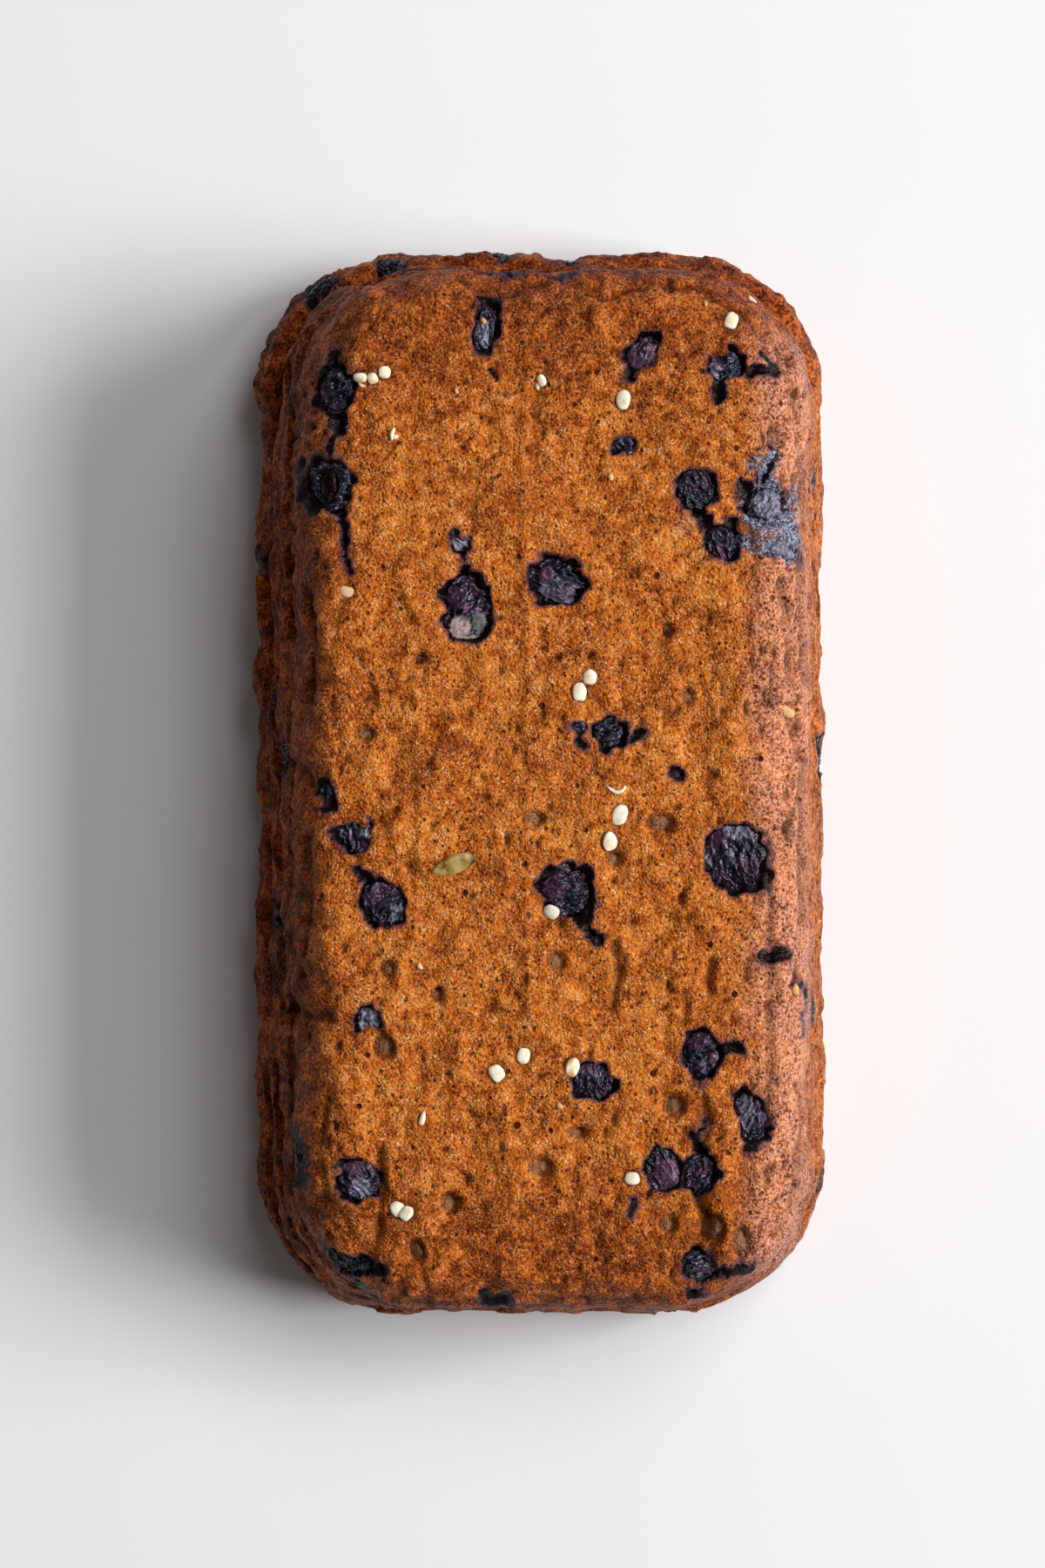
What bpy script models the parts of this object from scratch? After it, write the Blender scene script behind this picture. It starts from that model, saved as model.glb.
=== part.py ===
"""Lemon blueberry loaf, baked in a small loaf tin and turned out with its smooth tin side up. For Blender 4.5.

The crumb with its crust and its scattered seeds is one solid. Each blueberry that shows is a solid of its own,
seated in a pocket of the crust. Metres, +Z up, the long side along Y, the origin under the middle of the loaf.
"""

import math

import bmesh
import bpy
from mathutils import Matrix, Vector, noise
from mathutils.bvhtree import BVHTree

MM = 0.001

# The loaf at its widest, as a tin of 8.5 by 4.5 inches leaves it
LENGTH = 212 * MM
WIDTH = 113 * MM
HEIGHT = 58 * MM
CROWN = 0.8 * MM
CORNER_RADIUS = 29 * MM
HALF_WIDTH = WIDTH / 2
HALF_LENGTH = LENGTH / 2

# The walls from the foot up: height, how far the wall stands in on the left, right, far and near side, and the
# number of the baked ledge that the row belongs to. All lengths here are millimetres.
WALL_ROWS = (
    (0.0, 4.6, 4.6, 4.6, 4.6, 0.0),
    (1.3, 2.0, 2.0, 2.0, 2.0, 0.0),
    (4.5, 0.5, 0.5, 0.5, 0.5, 0.0),
    (12.0, 0.0, 0.0, 0.0, 0.0, 0.5),
    (18.6, 0.5, 0.7, 0.5, 0.7, 1.0),
    (20.6, 1.5, 0.9, 1.6, 0.8, 1.0),
    (21.6, 4.9, 1.8, 6.0, 1.8, 1.0),
    (24.0, 3.5, 2.0, 4.9, 2.0, 1.5),
    (30.0, 4.0, 2.5, 5.2, 2.6, 2.0),
    (31.2, 6.9, 3.4, 6.6, 3.3, 2.0),
    (33.8, 5.8, 3.4, 5.9, 3.3, 2.5),
    (39.0, 6.4, 4.0, 6.3, 3.8, 3.0),
    (40.3, 8.7, 4.6, 7.0, 4.4, 3.0),
    (45.5, 9.0, 5.0, 7.2, 4.8, 3.5),
)
WIDEST_ROW = 3

# The soft edge round the top: how far it rolls inwards and how far it drops
ROLL_IN = 11 * MM
ROLL_DOWN = HEIGHT - CROWN - WALL_ROWS[-1][0] * MM
ROLL_ROWS = 3
ROLL_END = math.radians(45)

# The ledges rise and fall, stand out and fade along the wall
LEDGE_WAVE = 2.0 * MM
LEDGE_WAVE_SPAN = 30 * MM
LEDGE_OUT = 1.3 * MM
LEDGE_OUT_SPAN = 17 * MM
FADE_SPAN = 24 * MM
FADE_FROM = -0.42
FADE_TO = 0.05

# The uneven crust: height and span of its swells, and the height where they start above the foot
SWELL = 0.55 * MM
SWELL_SPAN = 21 * MM
SWELL_START = 7 * MM

# The grid of the top, which also gives the columns of the walls
CELLS_ACROSS = 24
CELLS_ALONG = 40

# Every solid keeps this gap to its neighbours
GAP = 0.4 * MM

# What counts as level or as on the axis, and the angle from which an edge is shaded sharp
FLAT = 1e-6
SHARP_FROM = math.radians(50)

# Blueberries that show on the top: name, place across and along, width, length and turn from Y, in millimetres
# and degrees
TOP_BERRIES = (
    ("berry_left_shoulder_a", -40.2, 75.6, 7.6, 9.2, -10),
    ("berry_left_shoulder_b", -41.4, 57.6, 8.6, 11.0, 8),
    ("berry_far_middle", -10.8, 87.2, 5.0, 9.4, -8),
    ("berry_far_right", 19.5, 82.3, 6.8, 8.4, -35),
    ("berry_far_right_edge", 35.1, 80.0, 7.4, 7.8, 20),
    ("berry_far_small", 15.6, 64.5, 4.6, 4.6, 0),
    ("berry_cluster_a", 29.7, 56.2, 8.2, 8.8, 15),
    ("berry_cluster_b", 34.6, 46.0, 7.2, 7.8, 10),
    ("berry_cluster_c", 42.9, 53.2, 8.2, 8.6, 0),
    ("berry_cluster_d", 46.2, 44.6, 5.6, 6.4, 60),
    ("berry_cluster_e", 41.0, 63.2, 3.6, 7.0, -28),
    ("berry_middle_small", -15.3, 46.2, 3.8, 5.2, 10),
    ("berry_middle_left", -14.2, 33.6, 10.2, 13.4, 4),
    ("berry_middle_right", 3.0, 38.9, 9.8, 12.0, 82),
    ("berry_pair_small", 6.3, 11.4, 3.8, 4.2, 20),
    ("berry_pair_large", 13.0, 9.8, 6.2, 7.4, 15),
    ("berry_left_small", -41.4, -1.0, 3.6, 4.2, 20),
    ("berry_left_upper", -35.5, -9.8, 7.0, 7.8, 70),
    ("berry_left_lower", -30.2, -23.0, 8.4, 10.8, 38),
    ("berry_right_large", 37.0, -14.2, 12.4, 14.6, 6),
    ("berry_centre", 4.6, -20.3, 9.4, 11.4, 30),
    ("berry_left_grey", -32.7, -44.8, 6.0, 6.2, 0),
    ("berry_right_split", 30.5, -51.6, 7.2, 9.6, -14),
    ("berry_near_centre", 9.5, -56.7, 8.6, 8.6, 0),
    ("berry_right_long", 40.0, -63.8, 6.4, 10.8, 16),
    ("berry_near_left", -34.8, -75.6, 8.6, 8.8, 0),
    ("berry_near_right_a", 23.0, -73.8, 7.0, 9.8, 12),
    ("berry_near_right_b", 30.4, -74.6, 6.6, 9.0, -12),
    ("berry_near_corner_right", 30.4, -92.8, 6.4, 7.2, 60),
    ("berry_near_corner_left", -38.0, -91.6, 5.6, 11.6, 78),
)

# Blueberries that show in a wall: name, wall, place along the wall, height above the foot, width, height and turn
WALL_BERRIES = (
    ("berry_wall_left_a", "left", 44.5, 16.0, 8.0, 7.0, 0),
    ("berry_wall_left_b", "left", 5.6, 35.5, 6.6, 6.2, 0),
    ("berry_wall_left_c", "left", -25.5, 26.0, 8.4, 7.4, 10),
    ("berry_wall_left_d", "left", -72.6, 44.0, 9.6, 7.6, 0),
    ("berry_wall_right_a", "right", 60.5, 27.0, 7.4, 6.6, 0),
    ("berry_wall_right_b", "right", 6.0, 17.0, 10.0, 8.0, 0),
    ("berry_wall_right_c", "right", -44.0, 35.0, 9.6, 6.2, 0),
    ("berry_wall_right_d", "right", -80.0, 15.0, 8.0, 7.0, 15),
    ("berry_wall_far_a", "far", -30.0, 19.0, 7.2, 6.4, 0),
    ("berry_wall_far_b", "far", -7.6, 16.5, 6.4, 6.0, 0),
    ("berry_wall_far_c", "far", 4.0, 18.0, 7.4, 7.0, 10),
    ("berry_wall_far_left", "far", -44.0, 16.4, 8.6, 6.8, 0),
    ("berry_wall_near_a", "near", -8.4, 26.0, 8.8, 6.6, 0),
    ("berry_wall_near_b", "near", 27.0, 12.5, 7.4, 7.8, 0),
)

# A berry pressed flat by the tin: its rise over the crust, and its upper and lower depth for each unit of its
# mean radius, how square and lumpy it is, and the least mean radius, sides and rings of each fineness
BERRY_PROUD = 0.25 * MM
BERRY_UPPER = 0.34
BERRY_LOWER = 0.82
BERRY_SQUARE = 2.6
BERRY_LUMP = 0.16
BERRY_FINENESS = ((4.6, 12, 6), (4.0, 8, 6), (0.0, 8, 4))

# The most that a berry bends up or down with the crust, and how far out a pocket's cutter reaches over it
BERRY_BEND = 1.3 * MM
POCKET_OPEN = 6 * MM

# Hulled hemp seeds that lie on the crust: place across and along, width, length and turn, and for all of them
# the thickness and the share of it that stands out of the crust
SEEDS = (
    (-34.5, 77.6, 1.9, 2.6, 85),
    (-32.2, 77.4, 2.1, 2.2, 20),
    (-29.9, 78.6, 2.3, 2.4, 0),
    (36.4, 88.6, 2.6, 3.3, -20),
    (15.7, 73.4, 2.7, 3.8, -8),
    (0.1, 77.1, 1.7, 2.4, 20),
    (9.3, 20.4, 2.8, 2.9, 0),
    (7.3, 17.6, 2.7, 3.6, 0),
    (15.0, -5.9, 2.9, 4.1, -22),
    (13.1, -10.9, 2.7, 3.6, 0),
    (-1.8, -26.2, 2.6, 3.0, 50),
    (-8.5, -55.0, 2.9, 3.4, 30),
    (-3.4, -51.9, 2.5, 3.2, -15),
    (4.3, -52.4, 2.7, 3.7, 10),
    (-22.7, -63.8, 1.2, 2.8, -15),
    (17.2, -75.4, 2.4, 2.8, 0),
    (-27.5, -81.3, 2.7, 3.1, 40),
    (-25.0, -82.2, 2.7, 3.1, -30),
)
SEED_HEIGHT = 1.5 * MM
SEED_SHOWN = 0.62
SEED_SIDES = 6
SEED_RINGS = 4

# A pumpkin seed baked into the crust
PUMPKIN_SEED = (-16.8, -15.4, 3.6, 8.4, -70)
PUMPKIN_SEED_HEIGHT = 1.9 * MM

COLOURS = {
    "crust": ("#9A5A2A", 0.62),
    "berry_skin": ("#1B1820", 0.38),
}


def linear(hex_colour):
    """An sRGB hex colour as linear red, green, blue and alpha."""
    values = [int(hex_colour[i : i + 2], 16) / 255 for i in (1, 3, 5)]
    return [v / 12.92 if v <= 0.04045 else ((v + 0.055) / 1.055) ** 2.4 for v in values] + [1.0]


def finish(name):
    """The material of that name, made the first time that it is asked for."""
    material = bpy.data.materials.get(name)
    if material is None:
        colour, roughness = COLOURS[name]
        material = bpy.data.materials.new(name)
        material.use_nodes = True
        shader = material.node_tree.nodes["Principled BSDF"]
        shader.inputs["Base Color"].default_value = linear(colour)
        shader.inputs["Roughness"].default_value = roughness
        shader.inputs["Metallic"].default_value = 0.0
        material.diffuse_color = linear(colour)
    return material


def smooth_step(low, high, value):
    """0 below low and 1 above high, with a soft change between."""
    share = min(1.0, max(0.0, (value - low) / (high - low)))
    return share * share * (3 - 2 * share)


def rounded_plan(x, y):
    """A point of the straight-sided plan, moved so that the plan's corners become quarter circles."""
    straight_x = HALF_WIDTH - CORNER_RADIUS
    straight_y = HALF_LENGTH - CORNER_RADIUS
    past_x = max(0.0, abs(x) - straight_x) / CORNER_RADIUS
    past_y = max(0.0, abs(y) - straight_y) / CORNER_RADIUS
    if past_x == 0.0 or past_y == 0.0:
        return x, y
    round_x = straight_x + CORNER_RADIUS * past_x * math.sqrt(1 - past_y * past_y / 2)
    round_y = straight_y + CORNER_RADIUS * past_y * math.sqrt(1 - past_x * past_x / 2)
    return math.copysign(round_x, x), math.copysign(round_y, y)


def distance_to_edge(x, y):
    """How far a point of the plan lies inside its rounded outline."""
    past_x = abs(x) - (HALF_WIDTH - CORNER_RADIUS)
    past_y = abs(y) - (HALF_LENGTH - CORNER_RADIUS)
    if past_x > 0 and past_y > 0:
        return CORNER_RADIUS - math.hypot(past_x, past_y)
    return min(HALF_WIDTH - abs(x), HALF_LENGTH - abs(y))


def drawn_in(x, y, left, right, far, near):
    """A point of the plan after each side has moved in by its own amount."""
    side = left if x < 0 else right
    end = far if y > 0 else near
    return x * (1 - side / HALF_WIDTH), y * (1 - end / HALF_LENGTH)


def ledge_rows(x, y, height, ledge, sides):
    """The height of a row of the wall and how far its sides stand in, once the ledges wave and fade."""
    top = WALL_ROWS[-1]
    low = WALL_ROWS[WIDEST_ROW][0]
    share = (height - low) / (top[0] - low)
    plain = [share * side for side in top[1:5]]
    strength = smooth_step(FADE_FROM, FADE_TO, noise.noise(Vector((x / FADE_SPAN, y / FADE_SPAN, 9 + ledge))))
    calm = 4 * share * (1 - share)
    place = Vector((x / LEDGE_WAVE_SPAN, y / LEDGE_WAVE_SPAN, ledge * 1.7))
    rise = LEDGE_WAVE * noise.noise(place) * min(1, 3 * (1 - share))
    place = Vector((x / LEDGE_OUT_SPAN, y / LEDGE_OUT_SPAN, 5 - ledge))
    out = LEDGE_OUT * noise.noise(place) * calm
    sides = [(flat + (side - flat) * strength) * MM - out for flat, side in zip(plain, sides)]
    return height * MM + rise, sides


def wall_point(x, y, row):
    """A point of the wall, where row counts up the rows of WALL_ROWS and then those of the rolled edge."""
    last = len(WALL_ROWS) - 1
    height, *sides, ledge = WALL_ROWS[min(row, last)]
    if row <= WIDEST_ROW:
        rise = height * MM
        sides = [side * MM for side in sides]
    else:
        rise, sides = ledge_rows(x, y, height, ledge, sides)
    if row > last:
        turn = ROLL_END * (row - last) / ROLL_ROWS
        sides = [side + ROLL_IN * (1 - math.cos(turn)) for side in sides]
        rise += ROLL_DOWN * math.sin(turn)
    return Vector((*drawn_in(x, y, *sides), rise))


def top_point(x, y):
    """A point of the top, from the middle of the rolled edge inwards."""
    start = ROLL_IN * (1 - math.cos(ROLL_END))
    inside = start + distance_to_edge(x, y)
    drop = 0.0
    if inside < ROLL_IN:
        drop = ROLL_DOWN * (1 - math.sqrt(1 - (1 - inside / ROLL_IN) ** 2))
    crown = CROWN * (1 - (x / HALF_WIDTH) ** 2) * (1 - (y / HALF_LENGTH) ** 2)
    moved = drawn_in(x, y, *(side * MM + start for side in WALL_ROWS[-1][1:5]))
    return Vector((*moved, HEIGHT - CROWN - drop + crown))


def crumb_block():
    """The loaf without its pockets and seeds, as a bmesh whose foot is one flat face."""
    rows = len(WALL_ROWS) - 1 + ROLL_ROWS
    block = bmesh.new()
    bmesh.ops.create_cube(block, size=2.0)
    for axis, cells in enumerate((CELLS_ACROSS, CELLS_ALONG, rows)):
        running = [e for e in block.edges if abs(e.verts[0].co[axis] - e.verts[1].co[axis]) > 1]
        bmesh.ops.subdivide_edges(block, edges=running, cuts=cells - 1)
    for vertex in block.verts:
        x, y = rounded_plan(vertex.co.x * HALF_WIDTH, vertex.co.y * HALF_LENGTH)
        row = round((vertex.co.z + 1) / 2 * rows)
        vertex.co = top_point(x, y) if row == rows else wall_point(x, y, row)
    floor_faces = [f for f in block.faces if f.calc_center_median().z < FLAT]
    bmesh.ops.dissolve_faces(block, faces=floor_faces)
    block.normal_update()
    swell = {v: v.normal * SWELL * noise.noise(v.co / SWELL_SPAN) for v in block.verts}
    for vertex, move in swell.items():
        vertex.co += move * smooth_step(0, SWELL_START, vertex.co.z)
    trim_to_size(block)
    block.normal_update()
    return block


def trim_to_size(block):
    """Brings the block to its named length, width and height, with the origin under its middle."""
    low = [min(v.co[axis] for v in block.verts) for axis in range(3)]
    high = [max(v.co[axis] for v in block.verts) for axis in range(3)]
    for vertex in block.verts:
        share = [(vertex.co[axis] - low[axis]) / (high[axis] - low[axis]) for axis in range(3)]
        vertex.co = ((share[0] - 0.5) * WIDTH, (share[1] - 0.5) * LENGTH, share[2] * HEIGHT)


def frame_on(place, outward, turn):
    """The matrix of a frame at place whose z points outwards and whose y is turned from the loaf's Y or Z."""
    up = Vector((0, 1, 0)) if abs(outward.z) > 0.5 else Vector((0, 0, 1))
    across = up.cross(outward).normalized()
    along = outward.cross(across)
    axes = Matrix((across, along, outward)).transposed().to_4x4()
    return Matrix.Translation(place) @ axes @ Matrix.Rotation(math.radians(turn), 4, "Z")


def on_top(crust, x, y, turn):
    """The frame on the crust at a place seen from above, in millimetres."""
    place, outward, _, _ = crust.ray_cast(Vector((x * MM, y * MM, 1)), Vector((0, 0, -1)))
    return frame_on(place, outward, turn)


def on_wall(crust, wall, along, height, turn):
    """The frame on the crust at a place of a wall, facing level out of it."""
    outward = {"left": (-1, 0, 0), "right": (1, 0, 0), "far": (0, 1, 0), "near": (0, -1, 0)}[wall]
    outward = Vector(outward)
    start = outward.copy()
    sideways = 0 if wall in ("far", "near") else 1
    start[sideways] = along * MM
    start.z = height * MM
    place, normal, _, _ = crust.ray_cast(start, -outward)
    return frame_on(place, (outward + normal).normalized(), turn)


def ball(segments, rings):
    """A unit ball as a bmesh, with a ring of points on its equator."""
    made = bmesh.new()
    bmesh.ops.create_uvsphere(made, u_segments=segments, v_segments=rings, radius=1.0)
    return made


def object_of(name, made, material, collection, place=None):
    """The bmesh as a named object in a collection, placed by a matrix."""
    mesh = bpy.data.meshes.new(name)
    made.to_mesh(mesh)
    made.free()
    mesh.shade_smooth()
    mesh.set_sharp_from_angle(angle=SHARP_FROM)
    mesh.materials.append(finish(material))
    placed = bpy.data.objects.new(name, mesh)
    placed.matrix_world = place or Matrix.Identity(4)
    collection.objects.link(placed)
    return placed


def berry_sides(mean_radius):
    """The sides and rings of a berry of that size."""
    for least, segments, rings in BERRY_FINENESS:
        if mean_radius >= least * MM:
            return segments, rings


def bend_at(crust, place, x, y):
    """How far the crust lies above or below a frame's own plane at x and y, held to the berry's bend."""
    start = place @ Vector((x, y, POCKET_OPEN))
    outward = place.to_3x3() @ Vector((0, 0, 1))
    _, _, _, distance = crust.ray_cast(start, -outward)
    if distance is None:
        return -BERRY_BEND
    return min(BERRY_BEND, max(-BERRY_BEND, POCKET_OPEN - distance))


def berry_ball(width, length, grown, crust, place):
    """A flattened berry in its own frame, or with grown above 0 the cutter of its pocket, open to the outside."""
    half_width = width * MM / 2
    half_length = length * MM / 2
    mean = (half_width + half_length) / 2
    made = ball(*berry_sides(mean))
    for vertex in made.verts:
        x, y, z = vertex.co
        lump = 1 + BERRY_LUMP * noise.noise(Vector((x, y, width)) * 1.3)
        across = math.hypot(x, y)
        shrink = (1 - abs(z) ** BERRY_SQUARE) ** (1 / BERRY_SQUARE) / across if across > FLAT else 0.0
        bend = bend_at(crust, place, x * shrink * half_width * lump, y * shrink * half_length * lump)
        height = z * (mean * (BERRY_UPPER if z > 0 else BERRY_LOWER) + grown)
        if grown > 0 and z > FLAT:
            shrink = 1 / across if across > FLAT else 0.0
            height = POCKET_OPEN + z * MM
        vertex.co = (
            x * shrink * (half_width * lump + grown),
            y * shrink * (half_length * lump + grown),
            height + bend + BERRY_PROUD - mean * BERRY_UPPER,
        )
    return made


def add_berry(name, width, length, crust, place, berries, pockets):
    """One blueberry and the cutter of the pocket that it sits in."""
    berry = berry_ball(width, length, 0.0, crust, place)
    object_of(name, berry, "berry_skin", berries, place)
    pocket = berry_ball(width, length, GAP, crust, place)
    cutter = object_of(name + "_pocket", pocket, "crust", pockets, place)
    cutter.hide_render = True
    cutter.display_type = "WIRE"


def add_seed(name, width, length, thickness, place, seeds):
    """One seed, sunk a little into the crust."""
    made = ball(SEED_SIDES, SEED_RINGS)
    stretch = Matrix.Diagonal((width * MM / 2, length * MM / 2, thickness / 2, 1))
    rise = Matrix.Translation((0, 0, thickness * (SEED_SHOWN - 0.5)))
    bmesh.ops.transform(made, matrix=rise @ stretch, verts=made.verts)
    object_of(name, made, "crust", seeds, place)


def boolean(target, operation, collection):
    """A Boolean modifier on target that takes every object of the collection."""
    modifier = target.modifiers.new(operation.lower(), "BOOLEAN")
    modifier.operation = operation
    modifier.operand_type = "COLLECTION"
    modifier.collection = collection
    modifier.solver = "EXACT"
    return modifier


def fuse(target, collection):
    """Joins the collection's objects to target for good, and removes them."""
    boolean(target, "UNION", collection)
    bpy.context.view_layer.update()
    evaluated = target.evaluated_get(bpy.context.evaluated_depsgraph_get())
    fused = bpy.data.meshes.new_from_object(evaluated)
    target.modifiers.clear()
    target.data = fused
    for used in list(collection.objects):
        bpy.data.objects.remove(used)


def main():
    for old in list(bpy.data.objects):
        bpy.data.objects.remove(old)
    folders = {}
    for title in ("blueberry_loaf", "pockets", "seeds"):
        folders[title] = bpy.data.collections.new(title)
        bpy.context.scene.collection.children.link(folders[title])

    block = crumb_block()
    crust = BVHTree.FromBMesh(block)
    loaf = object_of("loaf", block, "crust", folders["blueberry_loaf"])

    for number, (x, y, width, length, turn) in enumerate(SEEDS):
        add_seed(f"seed_{number}", width, length, SEED_HEIGHT, on_top(crust, x, y, turn), folders["seeds"])
    x, y, width, length, turn = PUMPKIN_SEED
    place = on_top(crust, x, y, turn)
    add_seed("pumpkin_seed", width, length, PUMPKIN_SEED_HEIGHT, place, folders["seeds"])
    fuse(loaf, folders["seeds"])

    berries = [
        (name, width, length, on_top(crust, x, y, turn)) for name, x, y, width, length, turn in TOP_BERRIES
    ]
    berries += [
        (name, width, tall, on_wall(crust, wall, along, height, turn))
        for name, wall, along, height, width, tall, turn in WALL_BERRIES
    ]
    for name, width, length, place in berries:
        add_berry(name, width, length, crust, place, folders["blueberry_loaf"], folders["pockets"])
    boolean(loaf, "DIFFERENCE", folders["pockets"])


main()
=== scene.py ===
"""Lemon blueberry loaf, turned out of its tin with the smooth side up, seen from straight above."""

import math
import random

import bmesh
import bpy
from mathutils import Matrix, Vector, noise
from mathutils.bvhtree import BVHTree


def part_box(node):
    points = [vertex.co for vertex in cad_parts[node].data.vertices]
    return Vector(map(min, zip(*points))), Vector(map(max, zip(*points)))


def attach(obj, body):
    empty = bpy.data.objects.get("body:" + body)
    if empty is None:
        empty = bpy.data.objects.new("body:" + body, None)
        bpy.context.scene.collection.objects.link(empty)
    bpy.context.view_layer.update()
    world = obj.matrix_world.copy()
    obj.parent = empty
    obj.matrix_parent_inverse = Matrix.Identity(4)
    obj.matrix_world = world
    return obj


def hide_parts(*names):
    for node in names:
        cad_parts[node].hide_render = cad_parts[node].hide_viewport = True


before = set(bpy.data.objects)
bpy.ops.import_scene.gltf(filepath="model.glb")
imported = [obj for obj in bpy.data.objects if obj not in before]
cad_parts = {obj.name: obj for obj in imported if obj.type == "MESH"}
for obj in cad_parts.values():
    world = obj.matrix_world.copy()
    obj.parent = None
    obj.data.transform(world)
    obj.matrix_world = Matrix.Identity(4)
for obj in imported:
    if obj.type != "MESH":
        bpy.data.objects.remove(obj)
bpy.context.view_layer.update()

# The crust and crumb: a quick bread of flour, egg and sugar that browned against the walls of a loaf tin.
# The tin left the top smooth and full of pores. The batter tore at the left wall and the far end as it rose,
# which left ledges there.
MM = 0.001
LENGTH, WIDTH, HEIGHT = 212 * MM, 113 * MM, 58 * MM
HALF_WIDTH, HALF_LENGTH = WIDTH / 2, LENGTH / 2
CROWN = 0.8 * MM
CORNER_RADIUS = 29 * MM
# Rows of the wall: height, how far the left, right, far and near sides stand in, ledge number, and how many
# fine rows above
WALL_ROWS = (
    (0.0, 4.6, 4.6, 4.6, 4.6, 0.0, 2),
    (1.3, 2.0, 2.0, 2.0, 2.0, 0.0, 3),
    (4.5, 0.5, 0.5, 0.5, 0.5, 0.0, 6),
    (12.0, 0.0, 0.0, 0.0, 0.0, 0.5, 6),
    (18.6, 0.5, 0.7, 0.5, 0.7, 1.0, 2),
    (20.6, 1.5, 0.9, 1.6, 0.8, 1.0, 4),
    (21.6, 4.9, 1.8, 6.0, 1.8, 1.0, 2),
    (24.0, 3.5, 2.0, 4.9, 2.0, 1.5, 5),
    (30.0, 4.0, 2.5, 5.2, 2.6, 2.0, 3),
    (31.2, 6.9, 3.4, 6.6, 3.3, 2.0, 2),
    (33.8, 5.8, 3.4, 5.9, 3.3, 2.5, 4),
    (39.0, 6.4, 4.0, 6.3, 3.8, 3.0, 3),
    (40.3, 8.7, 4.6, 7.0, 4.4, 3.0, 4),
    (45.5, 9.0, 5.0, 7.2, 4.8, 3.5, 10),
)
WIDEST_ROW = 3
ROLL_IN = 11 * MM
ROLL_DOWN = HEIGHT - CROWN - WALL_ROWS[-1][0] * MM
ROLL_ROWS = 3
ROLL_END = math.radians(45)
LEDGE_WAVE, LEDGE_WAVE_SPAN = 2.0 * MM, 30 * MM
LEDGE_OUT, LEDGE_OUT_SPAN = 1.3 * MM, 17 * MM
FADE_SPAN, FADE_FROM, FADE_TO = 24 * MM, -0.42, 0.05
SWELL, SWELL_SPAN, SWELL_START = 0.55 * MM, 21 * MM, 7 * MM
CELLS_ACROSS, CELLS_ALONG = 156, 294


def smooth_step(low, high, value):
    """0 at low and 1 at high, with a soft change between."""
    share = min(1.0, max(0.0, (value - low) / (high - low)))
    return share * share * (3 - 2 * share)


def rounded_plan(x, y):
    """A point of the straight-sided plan, moved so that the plan's corners become quarter circles."""
    straight_x, straight_y = HALF_WIDTH - CORNER_RADIUS, HALF_LENGTH - CORNER_RADIUS
    past_x = max(0.0, abs(x) - straight_x) / CORNER_RADIUS
    past_y = max(0.0, abs(y) - straight_y) / CORNER_RADIUS
    if past_x == 0.0 or past_y == 0.0:
        return x, y
    round_x = straight_x + CORNER_RADIUS * past_x * math.sqrt(1 - past_y * past_y / 2)
    round_y = straight_y + CORNER_RADIUS * past_y * math.sqrt(1 - past_x * past_x / 2)
    return math.copysign(round_x, x), math.copysign(round_y, y)


def distance_to_edge(x, y):
    """How far a point of the plan lies inside its rounded outline."""
    past_x = abs(x) - (HALF_WIDTH - CORNER_RADIUS)
    past_y = abs(y) - (HALF_LENGTH - CORNER_RADIUS)
    if past_x > 0 and past_y > 0:
        return CORNER_RADIUS - math.hypot(past_x, past_y)
    return min(HALF_WIDTH - abs(x), HALF_LENGTH - abs(y))


def drawn_in(x, y, left, right, far, near):
    """A point of the plan after each side has moved in by its own amount."""
    side = left if x < 0 else right
    end = far if y > 0 else near
    return x * (1 - side / HALF_WIDTH), y * (1 - end / HALF_LENGTH)


def ledge_row(x, y, height, ledge, sides):
    """The height of a row of the wall and how far its sides stand in, once the ledges wave and fade."""
    top = WALL_ROWS[-1]
    low = WALL_ROWS[WIDEST_ROW][0]
    share = (height - low) / (top[0] - low)
    plain = [share * side for side in top[1:5]]
    strength = smooth_step(FADE_FROM, FADE_TO, noise.noise(Vector((x / FADE_SPAN, y / FADE_SPAN, 9 + ledge))))
    calm = 4 * share * (1 - share)
    place = Vector((x / LEDGE_WAVE_SPAN, y / LEDGE_WAVE_SPAN, ledge * 1.7))
    rise = LEDGE_WAVE * noise.noise(place) * min(1, 3 * (1 - share))
    place = Vector((x / LEDGE_OUT_SPAN, y / LEDGE_OUT_SPAN, 5 - ledge))
    out = LEDGE_OUT * noise.noise(place) * calm
    sides = [(flat + (side - flat) * strength) * MM - out for flat, side in zip(plain, sides)]
    return height * MM + rise, sides


def whole_row(x, y, row):
    """The height and the stand-in of a whole row of the wall, counted up WALL_ROWS."""
    height, *sides, ledge, _ = WALL_ROWS[row]
    if row <= WIDEST_ROW:
        return height * MM, [side * MM for side in sides]
    return ledge_row(x, y, height, ledge, sides)


def wall_point(x, y, row):
    """A point of the wall. The row counts up WALL_ROWS in whole and part steps, then up the rolled edge."""
    last = len(WALL_ROWS) - 1
    below = min(int(row), last)
    rise, sides = whole_row(x, y, below)
    if row > last:
        turn = ROLL_END * (row - last) / ROLL_ROWS
        sides = [side + ROLL_IN * (1 - math.cos(turn)) for side in sides]
        rise += ROLL_DOWN * math.sin(turn)
    elif row > below:
        next_rise, next_sides = whole_row(x, y, below + 1)
        share = row - below
        rise += share * (next_rise - rise)
        sides = [side + share * (ahead - side) for side, ahead in zip(sides, next_sides)]
    return Vector((*drawn_in(x, y, *sides), rise))


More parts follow.
